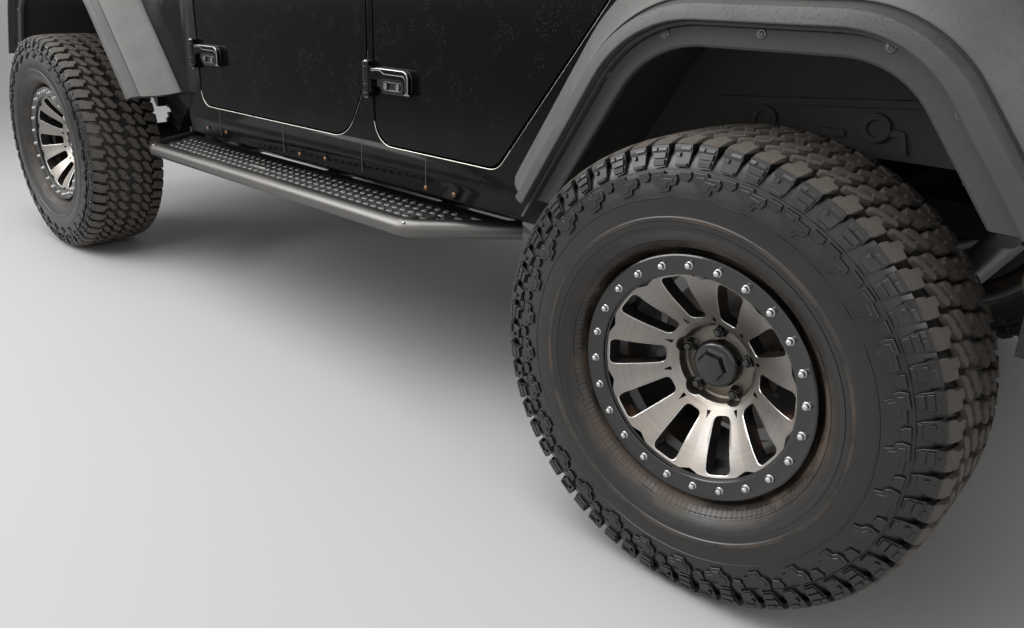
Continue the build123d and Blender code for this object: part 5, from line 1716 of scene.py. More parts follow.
@dataclass
class SideSteps:
    """Both steps: a bent tube, a pierced tread plate, a rolled inner band and brackets."""

    tube_radius: float = 0.025
    height: float = 0.068
    path: tuple[tuple[float, float, float], ...] = ((0.690, 0.660, 0.0), (0.900, 0.868, 0.085),
            (2.325, 0.868, 0.070), (2.435, 0.660, 0.0))
    pitch: float = 0.0335
    row_width: float = 0.0340
    tread_outer: float = 0.834
    tread_top: float = 0.0835
    hole: Pair = (0.0095, 0.0058)
    # (rear end, front end) of each row of holes, from the outer row in
    row_ends: tuple[Pair, ...] = ((0.9500, 2.2900), (0.9165, 2.3235), (0.8830, 2.3235), (0.8495, 2.3570))
    band: tuple[Pair, ...] = ((0.6980, 0.0800), (0.6940, 0.0822), (0.6840, 0.0832), (0.6700, 0.0828),
                              (0.6540, 0.0805), (0.6380, 0.0755), (0.6240, 0.0675), (0.6120, 0.0560),
                              (0.6040, 0.0400))

    def tube(self, shape: Shape) -> None:
        """The outer tube with its end plates.

        Args:
            shape: what the faces are added to.
        """
        bends = rounded([(x, y, r) for x, y, r in self.path], 14, False)
        line: list[Vector] = []
        for start, end in zip(bends, bends[1:]):
            a, b = Vector((*start, self.height)), Vector((*end, self.height))
            parts = max(1, round((b - a).length / 0.12))
            line += [a.lerp(b, k / parts) for k in range(parts)]
        line.append(Vector((*bends[-1], self.height)))
        shape.tube(line, self.tube_radius, 28, 0)

    def cell(self, shape: Shape, middle: Pair) -> None:
        """One cell of the tread: a raised oval collar round a hole, whose lower wall takes the near-black
        barrel finish as painted shade.

        Args:
            shape: what the faces are added to.
            middle: its middle.
        """
        half_u, half_v = self.pitch / 2, self.row_width / 2
        shares = (-1.0, -0.36, 0.36)
        border = [(s * half_u, -half_v) for s in shares] + [(half_u, s * half_v) for s in shares]
        border += [(-s * half_u, half_v) for s in shares] + [(-half_u, -s * half_v) for s in shares]
        turns = [math.atan2(v / half_v, u / half_u) for u, v in border]

        def oval(stretch: float, drop: float) -> list[Point]:
            """A ring about the hole."""
            a, b = self.hole[0] * stretch, self.hole[1] * stretch
            return [(middle[0] + a * math.cos(t), middle[1] + b * math.sin(t),
                     self.tread_top - drop) for t in turns]

        rings = [shape.ring((middle[0] + u, middle[1] + v, self.tread_top - 0.003) for u, v in border)]
        for stretch, drop in ((1.42, 0.0030), (1.16, 0.0002), (1.0, 0.0), (0.94, 0.0008), (0.94, 0.0065)):
            rings.append(shape.ring(oval(stretch, drop)))
        # the hole's lower wall (i == 4) takes the near-black finish: painted shade
        for i, (low, high) in enumerate(zip(rings, rings[1:])):
            shape.bridge(low, high, 4 if i == 4 else 1)

    def tread(self, shape: Shape) -> None:
        """The plate with its staggered holes, a near-black pan under them as painted shade, its turned edge
        and its tabs.

        Args:
            shape: what the faces are added to.
        """
        base = self.tread_top - 0.003
        for row, (rear, front) in enumerate(self.row_ends):
            middle_v = self.tread_outer - self.row_width * (row + 0.5)
            shift = self.pitch / 2 if row % 2 else 0.0
            count = int((front - rear - shift) / self.pitch)
            low_v, high_v = middle_v - self.row_width / 2, middle_v + self.row_width / 2
            start = rear + shift
            for k in range(count):
                self.cell(shape, (start + self.pitch * (k + 0.5), middle_v))
            for u0, u1 in ((rear - 0.012, start), (start + count * self.pitch, front + 0.012)):
                corners = [(u0, low_v), (u1, low_v), (u1, high_v), (u0, high_v)]
                shape.face(shape.ring((u, v, base) for u, v in corners), 1)
                down = shape.ring((u, v, base - 0.010) for u, v in corners)
                top = shape.ring((u, v, base) for u, v in corners)
                shape.bridge(top, down, 1)
            # painted shade: a near-black pan closes the holes from below, standing for the shadow seen
            # through them
            pan = [(rear - 0.010, low_v), (front + 0.010, low_v), (front + 0.010, high_v),
                   (rear - 0.010, high_v)]
            shape.face(shape.ring((u, v, base - 0.0035) for u, v in pan), 4)
        rear, front = self.row_ends[0]
        lip = ((self.tread_outer, base), (self.tread_outer + 0.0050, base + 0.0012),
               (self.tread_outer + 0.0085, base), (self.tread_outer + 0.0095, base - 0.009))
        stations = [rear - 0.012 + (front - rear + 0.024) * k / 24 for k in range(25)]
        rings = [shape.ring((x, y, z) for x in stations) for y, z in lip]
        shape.loft(rings, 2, False)
        for share in (0.02, 0.21, 0.40, 0.59, 0.78, 0.97):
            x = rear + (front - rear) * share
            shape.box((x - 0.032, self.tread_outer + 0.004, base - 0.013),
                      (x + 0.032, self.tread_outer + 0.0215, base - 0.004), 0.002, 3)
        x = 1.735
        shape.box((x - 0.040, 0.764, base), (x + 0.040, 0.790, base + 0.0046), 0.002, 2)

    def inner_band(self, shape: Shape) -> None:
        """The smooth rolled band beside the sill, cut to a point at its rear end.

        Args:
            shape: what the faces are added to.
        """
        rings = []
        for y, z in self.band:
            share = (self.band[0][0] - y) / (self.band[0][0] - self.band[-1][0])
            rear = 0.762 - 0.060 * share
            front = 2.392 - 0.012 * share
            rings.append(shape.ring((rear + (front - rear) * k / 30, y, z) for k in range(31)))
        shape.loft(rings, 3, False)

    def brackets(self, shape: Shape) -> None:
        """Three folded brackets from the chassis rail, and the tube's weld dots.

        Args:
            shape: what the faces are added to.
        """
        for station in (0.690 + 1.670 * 0.19, 0.690 + 1.670 * 0.52, 0.690 + 1.670 * 0.85):
            outline = [(0.3856, 0.050), (0.850, 0.050), (0.850, 0.068), (0.430, 0.074), (0.400, 0.076),
                       (0.3856, 0.076)]
            for x, side in ((station - 0.028, 1), (station + 0.028, -1)):
                shape.prism(outline, [(0.0, 0.0), (0.006, 0.0)], lambda u, v, h, x=x,
                            s=side: (x + h * s, u, v), 3, True)
            shape.box((station - 0.028, 0.3856, 0.068), (station + 0.028, 0.700, 0.0735), 0.001, 3)
        for x in (0.9020, 2.2900):
            dot = lathe(([(0.0045, 0.0), (0.0040, 0.0016), (0.0022, 0.0026), (0.0, 0.0029)], 12, 2))
            turn = Matrix.Rotation(math.radians(52), 4, "X")
            seat = Vector((x, 0.866, self.height)) + turn @ Vector((0, self.tube_radius - 0.0006, 0))
            shape.add(dot, Matrix.Translation(seat) @ turn)

    def build(self) -> None:
        """Shows both steps."""
        shape = Shape()
        self.tube(shape)
        self.tread(shape)
        self.inner_band(shape)
        self.brackets(shape)
        # finish 4, the near-black barrel finish, is painted shade in the tread's holes
        mesh = shape.mirrored().mesh("steps", [STEP_TUBE, TREAD_PLATE, STEP_EDGE, STEP_TUBE, BARREL], 30.0)
        piece("tube_steps", mesh, "chassis", CAR, ["side_steps"])


@dataclass
class TuckedSills:
    """The tub and the fenders with their foot cut back on a slope, so that the whole step shows below it."""

    section: tuple[Pair, ...] = ((0.590, 0.056), (0.830, 0.166), (0.830, 0.020), (0.590, 0.020))
    reach: Pair = (0.420, 2.700)

    def cutter(self) -> bpy.types.Object:
        """The wedge that is taken off below both sills.

        Returns:
            The wedge.
        """
        shape = Shape()
        rings = [shape.ring((x, y, z) for y, z in self.section) for x in self.reach]
        shape.bridge(rings[0], rings[1])
        shape.face(rings[0])
        shape.face(rings[1])
        made = bpy.data.objects.new("sill_wedge", shape.mirrored().mesh("sill_wedge", []))
        made.matrix_world = CAR
        bpy.context.scene.collection.objects.link(made)
        return made

    def cut(self, name: str, wedge: bpy.types.Object) -> bpy.types.Mesh:
        """A node's mesh less the wedge.

        Args:
            name: the node.
            wedge: what is taken off.

        Returns:
            The new mesh, dressed in body paint.
        """
        work = bmesh.new()
        work.from_mesh(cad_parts[name].data)
        bmesh.ops.remove_doubles(work, verts=work.verts, dist=0.00002)
        bare = bpy.data.meshes.new(name + "_tucked")
        work.to_mesh(bare)
        work.free()
        holder = bpy.data.objects.new(name + "_tucked", bare)
        bpy.context.scene.collection.objects.link(holder)
        modifier = holder.modifiers.new("wedge", "BOOLEAN")
        modifier.operation = "DIFFERENCE"
        modifier.solver = "EXACT"
        modifier.object = wedge
        seen = bpy.context.evaluated_depsgraph_get()
        made = bpy.data.meshes.new_from_object(holder.evaluated_get(seen))
        bpy.data.objects.remove(holder)
        made.materials.clear()
        made.materials.append(PAINT.material())
        made.polygons.foreach_set("material_index", [0] * len(made.polygons))
        made.polygons.foreach_set("use_smooth", [True] * len(made.polygons))
        made.set_sharp_from_angle(angle=math.radians(30))
        return made

    def build(self) -> None:
        """Shows both pieces in the nodes' places."""
        wedge = self.cutter()
        for name in ("body_tub", "front_fenders"):
            piece(f"tucked_{name}", self.cut(name, wedge), "chassis", None, [name])
        bpy.data.objects.remove(wedge)


# Springs


@dataclass
class Springs:
    """Four coil springs, wound from round wire with closed end turns."""

    coil_radius: float = 0.0350
    wire: float = 0.0066
    low: float = 0.0543
    high: float = 0.2297
    width: float = 0.432
    turns: float = 6.2

    def path(self) -> list[Vector]:
        """The wire's line, with flat first and last turns.

        Returns:
            The line.
        """
        steps = round(self.turns * 22)
        line = []
        for i in range(steps + 1):
            share = i / steps
            turn = share * self.turns
            rise = min(max((turn - 0.75) / (self.turns - 1.5), 0.0), 1.0)
            angle = turn * math.tau
            height = self.low + self.wire + 0.0004 + (self.high - self.low - 2 * self.wire - 0.0008) * (
                rise + 0.02 * (turn - rise * self.turns) / self.turns)
            line.append(Vector((self.coil_radius * math.cos(angle), self.coil_radius * math.sin(angle),
                                height)))
        return line

    def build(self) -> None:
        """Shows all four."""
        one = Shape()
        one.tube(self.path(), self.wire, 9, 0)
        shape = Shape()
        for end in End:
            shape.add(one, Matrix.Translation((end.value, self.width, 0.0)))
        mesh = shape.mirrored().mesh("springs", [SPRING], 40.0)
        piece("wound_springs", mesh, "chassis", CAR, ["coil_springs"])


# Doors' trim


class Door(Enum):
    """The two doors of a side: front edge, rear edge and the corners of the outline."""

    FRONT = "front"
    REAR = "rear"

    def corners(self, grow: float) -> list[tuple[float, float, float]]:
        """The door's outline, as station, height and radius, grown outwards.

        Args:
            grow: how far it is grown outwards.

        Returns:
            The corners in order.
        """
        low, top, belt = 0.257, 1.440, 0.832
        if self is Door.REAR:
            return [(1.105 + grow, low - grow, 0.070), (1.105 + grow, top + grow, 0.015),
                    (0.345 - grow, top + grow, 0.040), (0.345 - grow, 0.672, 0.150),
                    (0.660 - grow * 0.8, low - grow, 0.055)]
        return [(2.046 + grow, low - grow, 0.055), (2.046 + grow, belt, 0.0),
                (1.747 + grow, top + grow, 0.025), (1.138 - grow, top + grow, 0.015),
                (1.138 - grow, low + 0.173, 0.350), (1.235, low - grow, 0.105)]

    def low_edge(self, grow: float, rise: float) -> list[Pair]:
        """The part of the outline below a height, in order.

        Args:
            grow: how far it is grown outwards.
            rise: the height.

        Returns:
            The points.
        """
        outline = rounded(self.corners(grow), 14)
        dense: list[Pair] = []
        for start, end in zip(outline, [*outline[1:], outline[0]]):
            parts = max(1, round((Vector(end) - Vector(start)).length / 0.04))
            dense += [tuple(Vector(start).lerp(Vector(end), k / parts)) for k in range(parts)]
        high = max(range(len(dense)), key=lambda i: dense[i][1])
        turned = dense[high:] + dense[:high]
        return [pair for pair in turned if pair[1] < rise]


@dataclass
class DoorTrim:
    """What shows round the doors: a bright metal bead along each opening's lower edge as painted highlight,
    sill seams and screws.
    """

    bead: float = 0.0013
    bead_y: float = 0.7992
    fine: float = 0.0006

    def beads(self, shape: Shape) -> None:
        """A bright metal bead along the lower edge of both openings, standing as painted highlight, thick
        below and thin up the slanted rear edge.

        Args:
            shape: what the faces are added to.
        """
        for door, thick_top, thin_top in ((Door.FRONT, 0.300, 0.52), (Door.REAR, 0.318, 0.66)):
            line = door.low_edge(0.0068, thick_top)
            # painted highlight: the bright metal bead stands for light caught on the opening's lower edge
            shape.tube([Vector((x, self.bead_y, z)) for x, z in line], self.bead, 8, 0)
            whole = door.low_edge(0.0068, thin_top)
            rear = [pair for pair in whole if pair[0] < (1.30 if door is Door.FRONT else 0.70)]
            shape.tube([Vector((x, self.bead_y, z)) for x, z in rear], self.fine, 6, 0)

    def sill(self, shape: Shape) -> None:
        """Pinch-weld seams on the sill and the small screws along its foot.

        Args:
            shape: what the faces are added to.
        """
        for x in (0.905, 1.170, 1.560, 1.940):
            shape.box((x - 0.0012, 0.7985, 0.160), (x + 0.0012, 0.8008, 0.246), 0.0006, 1)
        for x in (0.800, 0.905, 1.345, 1.475, 1.905, 2.030):
            screw = lathe(
                ([(0.0062, 0.0), (0.0060, 0.0018), (0.0046, 0.0028), (0.0030, 0.0030)], 12, 2),
                ([(0.0030, 0.0030), (0.0028, 0.0046), (0.0, 0.0050)], 6, 2))
            shape.add(screw, Matrix.Translation((x, 0.8000, 0.170 - 0.006 * math.sin(x * 9.0))))

    def build(self) -> None:
        """Shows the trim of both sides."""
        shape = Shape()
        self.beads(shape)
        self.sill(shape)
        mesh = shape.mirrored().mesh("door_trim", [BRIGHT_METAL_AND_HIGHLIGHT, LINER, COPPER], 35.0)
        piece("door_opening_edges", mesh, "chassis", CAR)


@dataclass
class StrapHinge:
    """The sculpted cover of one strap hinge, over the door's own plate."""

    half: float = 0.034
    pin: Pair = (0.014, 0.816)
    bolts: Pair = (0.060, 0.108)

    def cover(self, shape: Shape) -> None:
        """Plate, double rib and bolted recess, about the door's front edge and the hinge's middle; the rib's
        upper bevels, the recess's rim and the bolts' tops take the glint finish as painted highlight.

        Args:
            shape: what the faces are added to.
        """
        y = BODY_SIDE + 0.0088
        top, low = self.half, -self.half
        plate = rounded([(-0.006, low + 0.017, 0.0), (-0.030, low + 0.017, 0.008),
                         (-0.044, low + 0.001, 0.012), (-0.1595, low + 0.001, 0.020),
                         (-0.1595, top - 0.001, 0.024), (-0.034, top - 0.001, 0.010),
                         (-0.006, top - 0.005, 0.0)], 5)

        def stand(u: float, v: float, h: float) -> Point:
            """A point of the plate."""
            return (u, y + h, v)

        shape.prism(plate, [(-0.0080, 0.0), (0.0004, 0.0), (0.0010, 0.0008)], stand, 0)
        outer = rounded([(-0.008, top - 0.0035, 0.0), (-0.036, top - 0.0005, 0.014),
                         (-0.1565, top - 0.0005, 0.022), (-0.1565, low + 0.007, 0.007),
                         (-0.1440, low + 0.007, 0.006), (-0.1440, 0.016, 0.012), (-0.060, 0.016, 0.016),
                         (-0.046, 0.0235, 0.012), (-0.030, 0.0235, 0.006), (-0.008, 0.0205, 0.0)], 6)
        levels = [(0.0010, 0.0), (0.0095, 0.0004), (0.0118, 0.0016), (0.0124, 0.0034)]
        rings = []
        for height, inset in levels:
            rings.append(shape.ring(stand(u, v, height) for u, v in shrunk(outer, inset)))
        # the rib's upper bevels take the glint finish: painted highlight
        for i, (a, b) in enumerate(zip(rings, rings[1:])):
            shape.bridge(a, b, 0 if i < 1 else 1)
        inner = shape.ring(stand(u, v, 0.0110) for u, v in shrunk(outer, 0.0046))
        shape.bridge(rings[-1], inner, 0)
        shape.face(inner, 0)
        recess = rounded([(-0.046, -0.024, 0.011), (-0.122, -0.024, 0.011), (-0.122, -0.001, 0.011),
                          (-0.046, -0.001, 0.011)], 6)
        rims = [shape.ring(stand(u, v, h) for u, v in shrunk(recess, d))
                for h, d in ((0.0010, 0.0), (0.0026, 0.0006), (0.0026, 0.0016), (0.0004, 0.0024))]
        # the recess rim's top takes the glint finish: painted highlight
        for i, (a, b) in enumerate(zip(rims, rims[1:])):
            shape.bridge(a, b, 1 if i == 1 else 0)
        # the bolt heads' tops take the glint finish: painted highlight
        for offset in self.bolts:
            bolt = lathe(
                ([(0.0092, 0.0), (0.0088, 0.0046), (0.0066, 0.0064)], 18, 0),
                ([(0.0066, 0.0064), (0.0058, 0.0066), (0.0052, 0.0040), (0.0, 0.0038)], 6, 1))
            shape.add(bolt, Matrix.Translation((-offset, y + 0.0004, -0.0125)))

    def barrel(self, shape: Shape) -> None:
        """The barrel's three rings, about the hinge's pin.

        Args:
            shape: what the faces are added to.
        """
        for z0, z1, radius, mark in ((-0.0335, -0.0115, 0.0106, 0), (-0.0110, 0.0110, 0.0103, 0),
                (0.0115, 0.0335, 0.0106, 0)):
            rings = []
            for z, r in ((z0, radius - 0.0008), (z0 + 0.0008, radius), (z1 - 0.0008, radius),
                         (z1, radius - 0.0008)):
                rings.append(shape.ring((r * math.cos(t), r * math.sin(t), z) for t in turns(20)))
            shape.loft(rings, mark)

    def caps(self, shape: Shape) -> None:
        """The pillar's two rings with their domed pin ends; their bevels and domes take the glint finish as
        painted highlight.

        Args:
            shape: what the faces are added to.
        """
        for way in (1, -1):
            rows = ((0.0347, 0.0098), (0.0353, 0.0106), (0.0458, 0.0106), (0.0466, 0.0098), (0.0468, 0.0062),
                    (0.0492, 0.0056), (0.0500, 0.0030), (0.0502, 0.0))
            rings = [shape.ring((max(r, 0.0002) * math.cos(t), max(r, 0.0002) * math.sin(t),
                                 way * z) for t in turns(20)) for z, r in rows]
            for i, (a, b) in enumerate(zip(rings, rings[1:])):
                shape.bridge(a, b, 1 if i in (0, 2, 4, 5, 6) else 0)

    def build(self) -> None:
        """Shows the covers on each door and the caps on the pillars."""
        caps = Shape()
        for door, edge in ((Door.FRONT, 2.046), (Door.REAR, 1.105)):
            covers = Shape()
            for height in (0.425, 0.745):
                one, pin = Shape(), Shape()
                self.cover(one)
                self.barrel(pin)
                covers.add(one, Matrix.Translation((edge, 0.0, height)))
                covers.add(pin, Matrix.Translation((edge + self.pin[0], self.pin[1], height)))
                cap = Shape()
                self.caps(cap)
                caps.add(cap, Matrix.Translation((edge + self.pin[0], self.pin[1], height)))
            for side in Side:
                half = covers
                if side is Side.RIGHT:
                    half = Shape()
                    half.add(covers, Matrix.Scale(-1, 4, (0, 1, 0)))
                name = f"{door.value}_door_{side.word}"
                piece(f"hinge_straps_{name}", half.mesh(f"straps_{name}", [HINGE, PAINTED_GLINT], 30.0), name,
                      CAR)
        mesh = caps.mirrored().mesh("hinge_caps", [HINGE, PAINTED_GLINT], 30.0)
        piece("hinge_caps", mesh, "chassis", CAR)


# Seats


@dataclass(frozen=True)
class Pad:
    """One stuffed pad in its own frame: x forward, y across, z up, its foot's middle at the origin."""

    name: str
    depth: float
    width: float
    height: float
    channels: tuple[float, ...] = ()
    facing: int = 2
    voxel: float = 0.011
    pressure: float = 4.0
    last_frame: int = 20
    cap: float = 0.022

    def blank(self) -> bpy.types.Mesh:
        """The pad's plain form before it is stuffed, a little small.

        Returns:
            The mesh.
        """
        shape = Shape()
        x, y = self.depth / 2, self.width / 2
        outline = cut_corners([(-x, -y), (x, -y), (x, y), (-x, y)], min(x, y) * 0.35, 6)
        z, edge = self.height, min(self.depth, self.height) * 0.16
        shape.prism(outline, [(0.0, edge), (edge * 0.3, edge * 0.3), (edge, 0.0), (z - edge, 0.0),
                              (z - edge * 0.3, edge * 0.3), (z, edge)], lambda u, v, h: (u, v, h), 0, True)
        return shape.mesh(self.name, [])

    def held(self, place: Vector) -> bool:
        """Whether a point lies on a sewn seam or channel.

        Args:
            place: the point.

        Returns:
            True where it is held.
        """
        half = self.voxel * 0.62
        if any(abs(abs(place.y) - seam) < half for seam in self.channels):
            return (place.z > self.height * 0.5) if self.facing == 2 else (place.x > 0.0)
        rim = self.height - place.z if self.facing == 2 else self.depth / 2 - place.x
        return abs(rim - self.voxel * 2.4) < half

    def stuffed(self) -> bpy.types.Mesh:
        """The pad after a voxel remesh and a pressure simulation, smoothed once.

        Returns:
            The mesh.
        """
        scene = bpy.context.scene
        holder = bpy.data.objects.new(self.name, self.blank())
        scene.collection.objects.link(holder)
        remesh = holder.modifiers.new("voxels", "REMESH")
        remesh.mode, remesh.voxel_size = "VOXEL", self.voxel
        holder.data = self.evaluated(holder)
        holder.modifiers.clear()
        before = [vertex.co.copy() for vertex in holder.data.vertices]
        seams = holder.vertex_groups.new(name="seams")
        seams.add([i for i, place in enumerate(before) if self.held(place)], 1.0, "REPLACE")
        cloth = holder.modifiers.new("cloth", "CLOTH")
        cloth.settings.use_pressure = True
        cloth.settings.uniform_pressure_force = self.pressure
        cloth.settings.vertex_group_mass = "seams"
        cloth.settings.effector_weights.gravity = 0.0
        for number in range(1, self.last_frame + 1):
            scene.frame_set(number)
        swollen = self.evaluated(holder)
        holder.modifiers.clear()
        for vertex, start, end in zip(holder.data.vertices, before, swollen.vertices):
            move = end.co - start
            vertex.co = start + move * min(1.0, self.cap / max(move.length, 1e-9))
        scene.frame_set(1)
        smooth = holder.modifiers.new("smooth", "SUBSURF")
        smooth.levels = 1
        made = self.evaluated(holder)
        bpy.data.objects.remove(holder)
        made.polygons.foreach_set("use_smooth", [True] * len(made.polygons))
        made.materials.clear()
        made.materials.append(CLOTH.material())
        return made

    @staticmethod
    def evaluated(holder: bpy.types.Object) -> bpy.types.Mesh:
        """An object's mesh with its modifiers applied."""
        seen = bpy.context.evaluated_depsgraph_get()
        return bpy.data.meshes.new_from_object(holder.evaluated_get(seen))


@dataclass
class Seats:
    """Two front seats with head restraints and a bench for three, on their bases."""

    front_y: float = 0.395
    # (pad, lean in degrees, then x, y and z of each place)
    layout: tuple[tuple[Pad, float, tuple[Point, ...]],
                  ...] = ((Pad("front_cushion", 0.455, 0.415, 0.125, (0.135,)), 0.0,
                           ((1.580, 0.395, 0.328), (1.580, -0.395, 0.328))),
                          (Pad("front_backrest", 0.085, 0.415, 0.470, (0.130,), 0), -9.6,
                           ((1.2730, 0.395, 0.415), (1.2730, -0.395, 0.415))),
                          (Pad("head_restraint", 0.080, 0.230, 0.115, (), 0), -9.6,
                           ((1.1830, 0.395, 0.925), (1.1830, -0.395, 0.925))),
                          (Pad("bench_cushion", 0.395, 0.345, 0.120, (0.100,)), 0.0,
                           tuple((0.742, y, 0.362) for y in (-0.372, 0.0, 0.372))),
                          (Pad("bench_backrest", 0.080, 0.345, 0.570, (0.100,), 0), -7.4,
                           tuple((0.4620, y, 0.425) for y in (-0.372, 0.0, 0.372))))

    def bases(self) -> None:
        """Seat shells with their runners, the restraint posts and the bench's pan."""
        shape = Shape()
        for y in (self.front_y, -self.front_y):
            shape.box((1.385, y - 0.195, 0.245), (1.775, y + 0.195, 0.318), 0.018)
            for way in (-0.165, 0.165):
                shape.box((1.380, y + way - 0.014, 0.2105), (1.780, y + way + 0.014, 0.247), 0.004, 1)
            shape.tube([Vector((1.290, y + 0.21, 0.40)), Vector((1.345, y + 0.21, 0.365)),
                        Vector((1.440, y + 0.21, 0.350))], 0.009, 10, 0)
            for way in (-0.055, 0.055):
                shape.tube([Vector((1.1985, y + way, 0.860)), Vector((1.1835, y + way, 0.945))], 0.0055, 10,
                           1)
            back = [(1.2230, 0.420), (1.2080, 0.420), (1.1285, 0.885), (1.1435, 0.890)]
            shape.prism(back, [(0.0, 0.002), (0.003, 0.0), (0.367, 0.0), (0.370, 0.002)],
                        lambda u, v, h, y=y: (u, y - 0.185 + h, v), 0, True)
        shape.box((0.545, -0.555, 0.3460), (0.940, 0.555, 0.3700), 0.006)
        mesh = shape.mesh("seat_bases", [TRIM, STEEL], 30.0)
        piece("seat_bases", mesh, "chassis", CAR, ["seats"])

    def build(self) -> None:
        """Shows the bases and every pad."""
        self.bases()
        for pad, lean, places in self.layout:
            mesh = pad.stuffed()
            for number, (x, y, z) in enumerate(places):
                place = CAR @ Matrix.Translation((x, y, z)) @ Matrix.Rotation(math.radians(lean), 4, "Y")
                made = piece(f"{pad.name}_{number + 1}", mesh, "chassis", place)


# Ends of the vehicle


def along(station: float, y: float, z: float, way: int = 1) -> Matrix:
    """Stands a shape turned about y so that its axis runs along the vehicle, forward or back.

    Args:
        station: forward of the rear axle.
        y: to the left.
        z: above the axles.
        way: 1 to face forward, -1 to face back.

    Returns:
        The place.
    """
    return Matrix.Translation((station, y, z)) @ Matrix.Rotation(-way * math.pi / 2, 4, "Z")


def behind(station: float) -> Callable[[float, float, float], Point]:
    """Places (y, z, height) on a flat face that looks back."""
    return lambda u, v, h: (station - h, u, v)


@dataclass
class FrontEnd:
    """Lamps, grille screen, bumper fittings and what stands on the hood and windshield."""

    grille_front: float = 3.530
    lamp_y: float = 0.490
    lamp_z: float = 0.560
    lamp_radius: float = 0.0975
    bumper_face: float = 3.668

    def lamps(self) -> None:
        """Round head lamps: bezel, chromed bowl, bulb shield and domed lens."""
        shape = Shape()
        for y in (self.lamp_y, -self.lamp_y):
            one = Shape()
            r = self.lamp_radius
            one.revolve([(r, -0.050), (r, 0.0170), (r - 0.0030, 0.0205), (r - 0.0085, 0.0205),
                         (r - 0.0105, 0.0150)], 56, 0)
            one.revolve([(r - 0.0105, 0.0150), (r - 0.0140, -0.004), (r * 0.66, -0.026), (r * 0.34, -0.042),
                         (0.020, -0.047), (0.0, -0.047)], 56, 1)
            one.revolve([(0.0165, -0.044), (0.0170, -0.014), (0.0140, -0.009), (0.0, -0.007)], 24, 0)
            shape.add(one, along(self.grille_front, y, self.lamp_z))
        mesh = shape.mesh("lamp_bowls", [ENAMEL, CHROME], 30.0)
        piece("head_lamp_bowls", mesh, "chassis", CAR, ["head_lamps"])
        lens = Shape()
        for y in (self.lamp_y, -self.lamp_y):
            one = Shape()
            r = self.lamp_radius - 0.011
            one.revolve([(0.0, 0.0285), (r * 0.35, 0.0278), (r * 0.66, 0.0252), (r * 0.88, 0.0205),
                         (r, 0.0150), (r, 0.0120), (r * 0.86, 0.0172), (r * 0.50, 0.0236), (0.0, 0.0255)],
                        56, 0)
            lens.add(one, along(self.grille_front, y, self.lamp_z))
        piece("head_lamp_lenses", lens.mesh("lenses", [CLEAR_LENS], 40.0), "chassis", CAR)

    def grille(self) -> None:
        """A woven screen behind the openings."""
        shape = Shape()
        x = self.grille_front - 0.0485
        for k in range(45):
            y = -0.352 + 0.016 * k
            shape.tube([Vector((x, y, 0.414)), Vector((x, y, 0.686))], 0.0013, 5, 0)
        for k in range(18):
            z = 0.414 + 0.016 * k
            shape.tube([Vector((x + 0.0018, -0.358, z)), Vector((x + 0.0018, 0.358, z))], 0.0013, 5, 0)
        for z in (0.410, 0.690):
            shape.box((x - 0.004, -0.362, z - 0.007), (x + 0.004, 0.362, z + 0.007), 0.002, 0)
        for y in (0.357, -0.357):
            shape.box((x - 0.004, y - 0.005, 0.404), (x + 0.004, y + 0.005, 0.697), 0.002, 0)
        piece("grille_screen", shape.mesh("screen", [TRIM], 30.0), "chassis", CAR)

    def bumper(self) -> None:
        """Fog lamps in their pockets, bolt heads and amber markers."""
        shape = Shape()
        for y in (0.476, -0.476):
            one = lathe(
                ([(0.0405, -0.028), (0.0405, -0.006), (0.0370, -0.004), (0.0350, -0.008)], 32, 0),
                ([(0.0350, -0.008), (0.0280, -0.018), (0.0, -0.026)], 32, 1),
                ([(0.0350, -0.0080), (0.0240, -0.0052), (0.0, -0.0040)], 32, 2))
            shape.add(one, along(self.bumper_face - 0.006, y, 0.200))
        for y in (-0.24, -0.12, 0.12, 0.24):
            for z in (0.140, 0.262):
                bolt = lathe(
                    ([(0.0105, 0.0), (0.0100, 0.0018), (0.0078, 0.0020)], 18, 0),
                    ([(0.0078, 0.0020), (0.0076, 0.0068), (0.0066, 0.0076), (0.0, 0.0076)], 6, 3))
                shape.add(bolt, along(self.bumper_face - 0.0003 - 0.020 * abs(y) * 0.9, y, z))
        for y in (self.lamp_y - 0.02, -self.lamp_y + 0.02):
            lamp = Shape()
            outline = cut_corners([(-0.030, -0.014), (0.030, -0.014), (0.030, 0.014), (-0.030, 0.014)], 0.006)
            lamp.prism(outline, [(0.0, 0.0), (0.004, 0.0), (0.007, 0.002)], lambda u, v, h: (u, h, v), 4)
            shape.add(lamp, along(self.grille_front, y, 0.410))
        mesh = shape.mesh("bumper_fittings", [ENAMEL, CHROME, CLEAR_LENS, FASTENER, AMBER_LENS], 30.0)
        piece("bumper_fittings", mesh, "chassis", CAR)

    def hood_fittings(self) -> None:
        """A rubber catch with its screws on each side of the hood."""
        shape = Shape()
        for side in (1, -1):
            y = side * 0.690
            shape.box((3.195, y - 0.020, 0.770), (3.265, y + 0.020, 0.783), 0.006, 0)
            shape.box((3.208, y - 0.013, 0.783), (3.252, y + 0.013, 0.790), 0.004, 0)
            for x in (3.204, 3.256):
                knob = lathe(([(0.0045, 0.0), (0.0042, 0.0030), (0.0, 0.0040)], 10, 1))
                shape.add(knob, Matrix.Translation((x, y, 0.783)) @ Matrix.Rotation(math.pi / 2, 4, "X"))
        piece("hood_catches", shape.mesh("catches", [TRIM, FASTENER], 30.0), "hood", CAR)

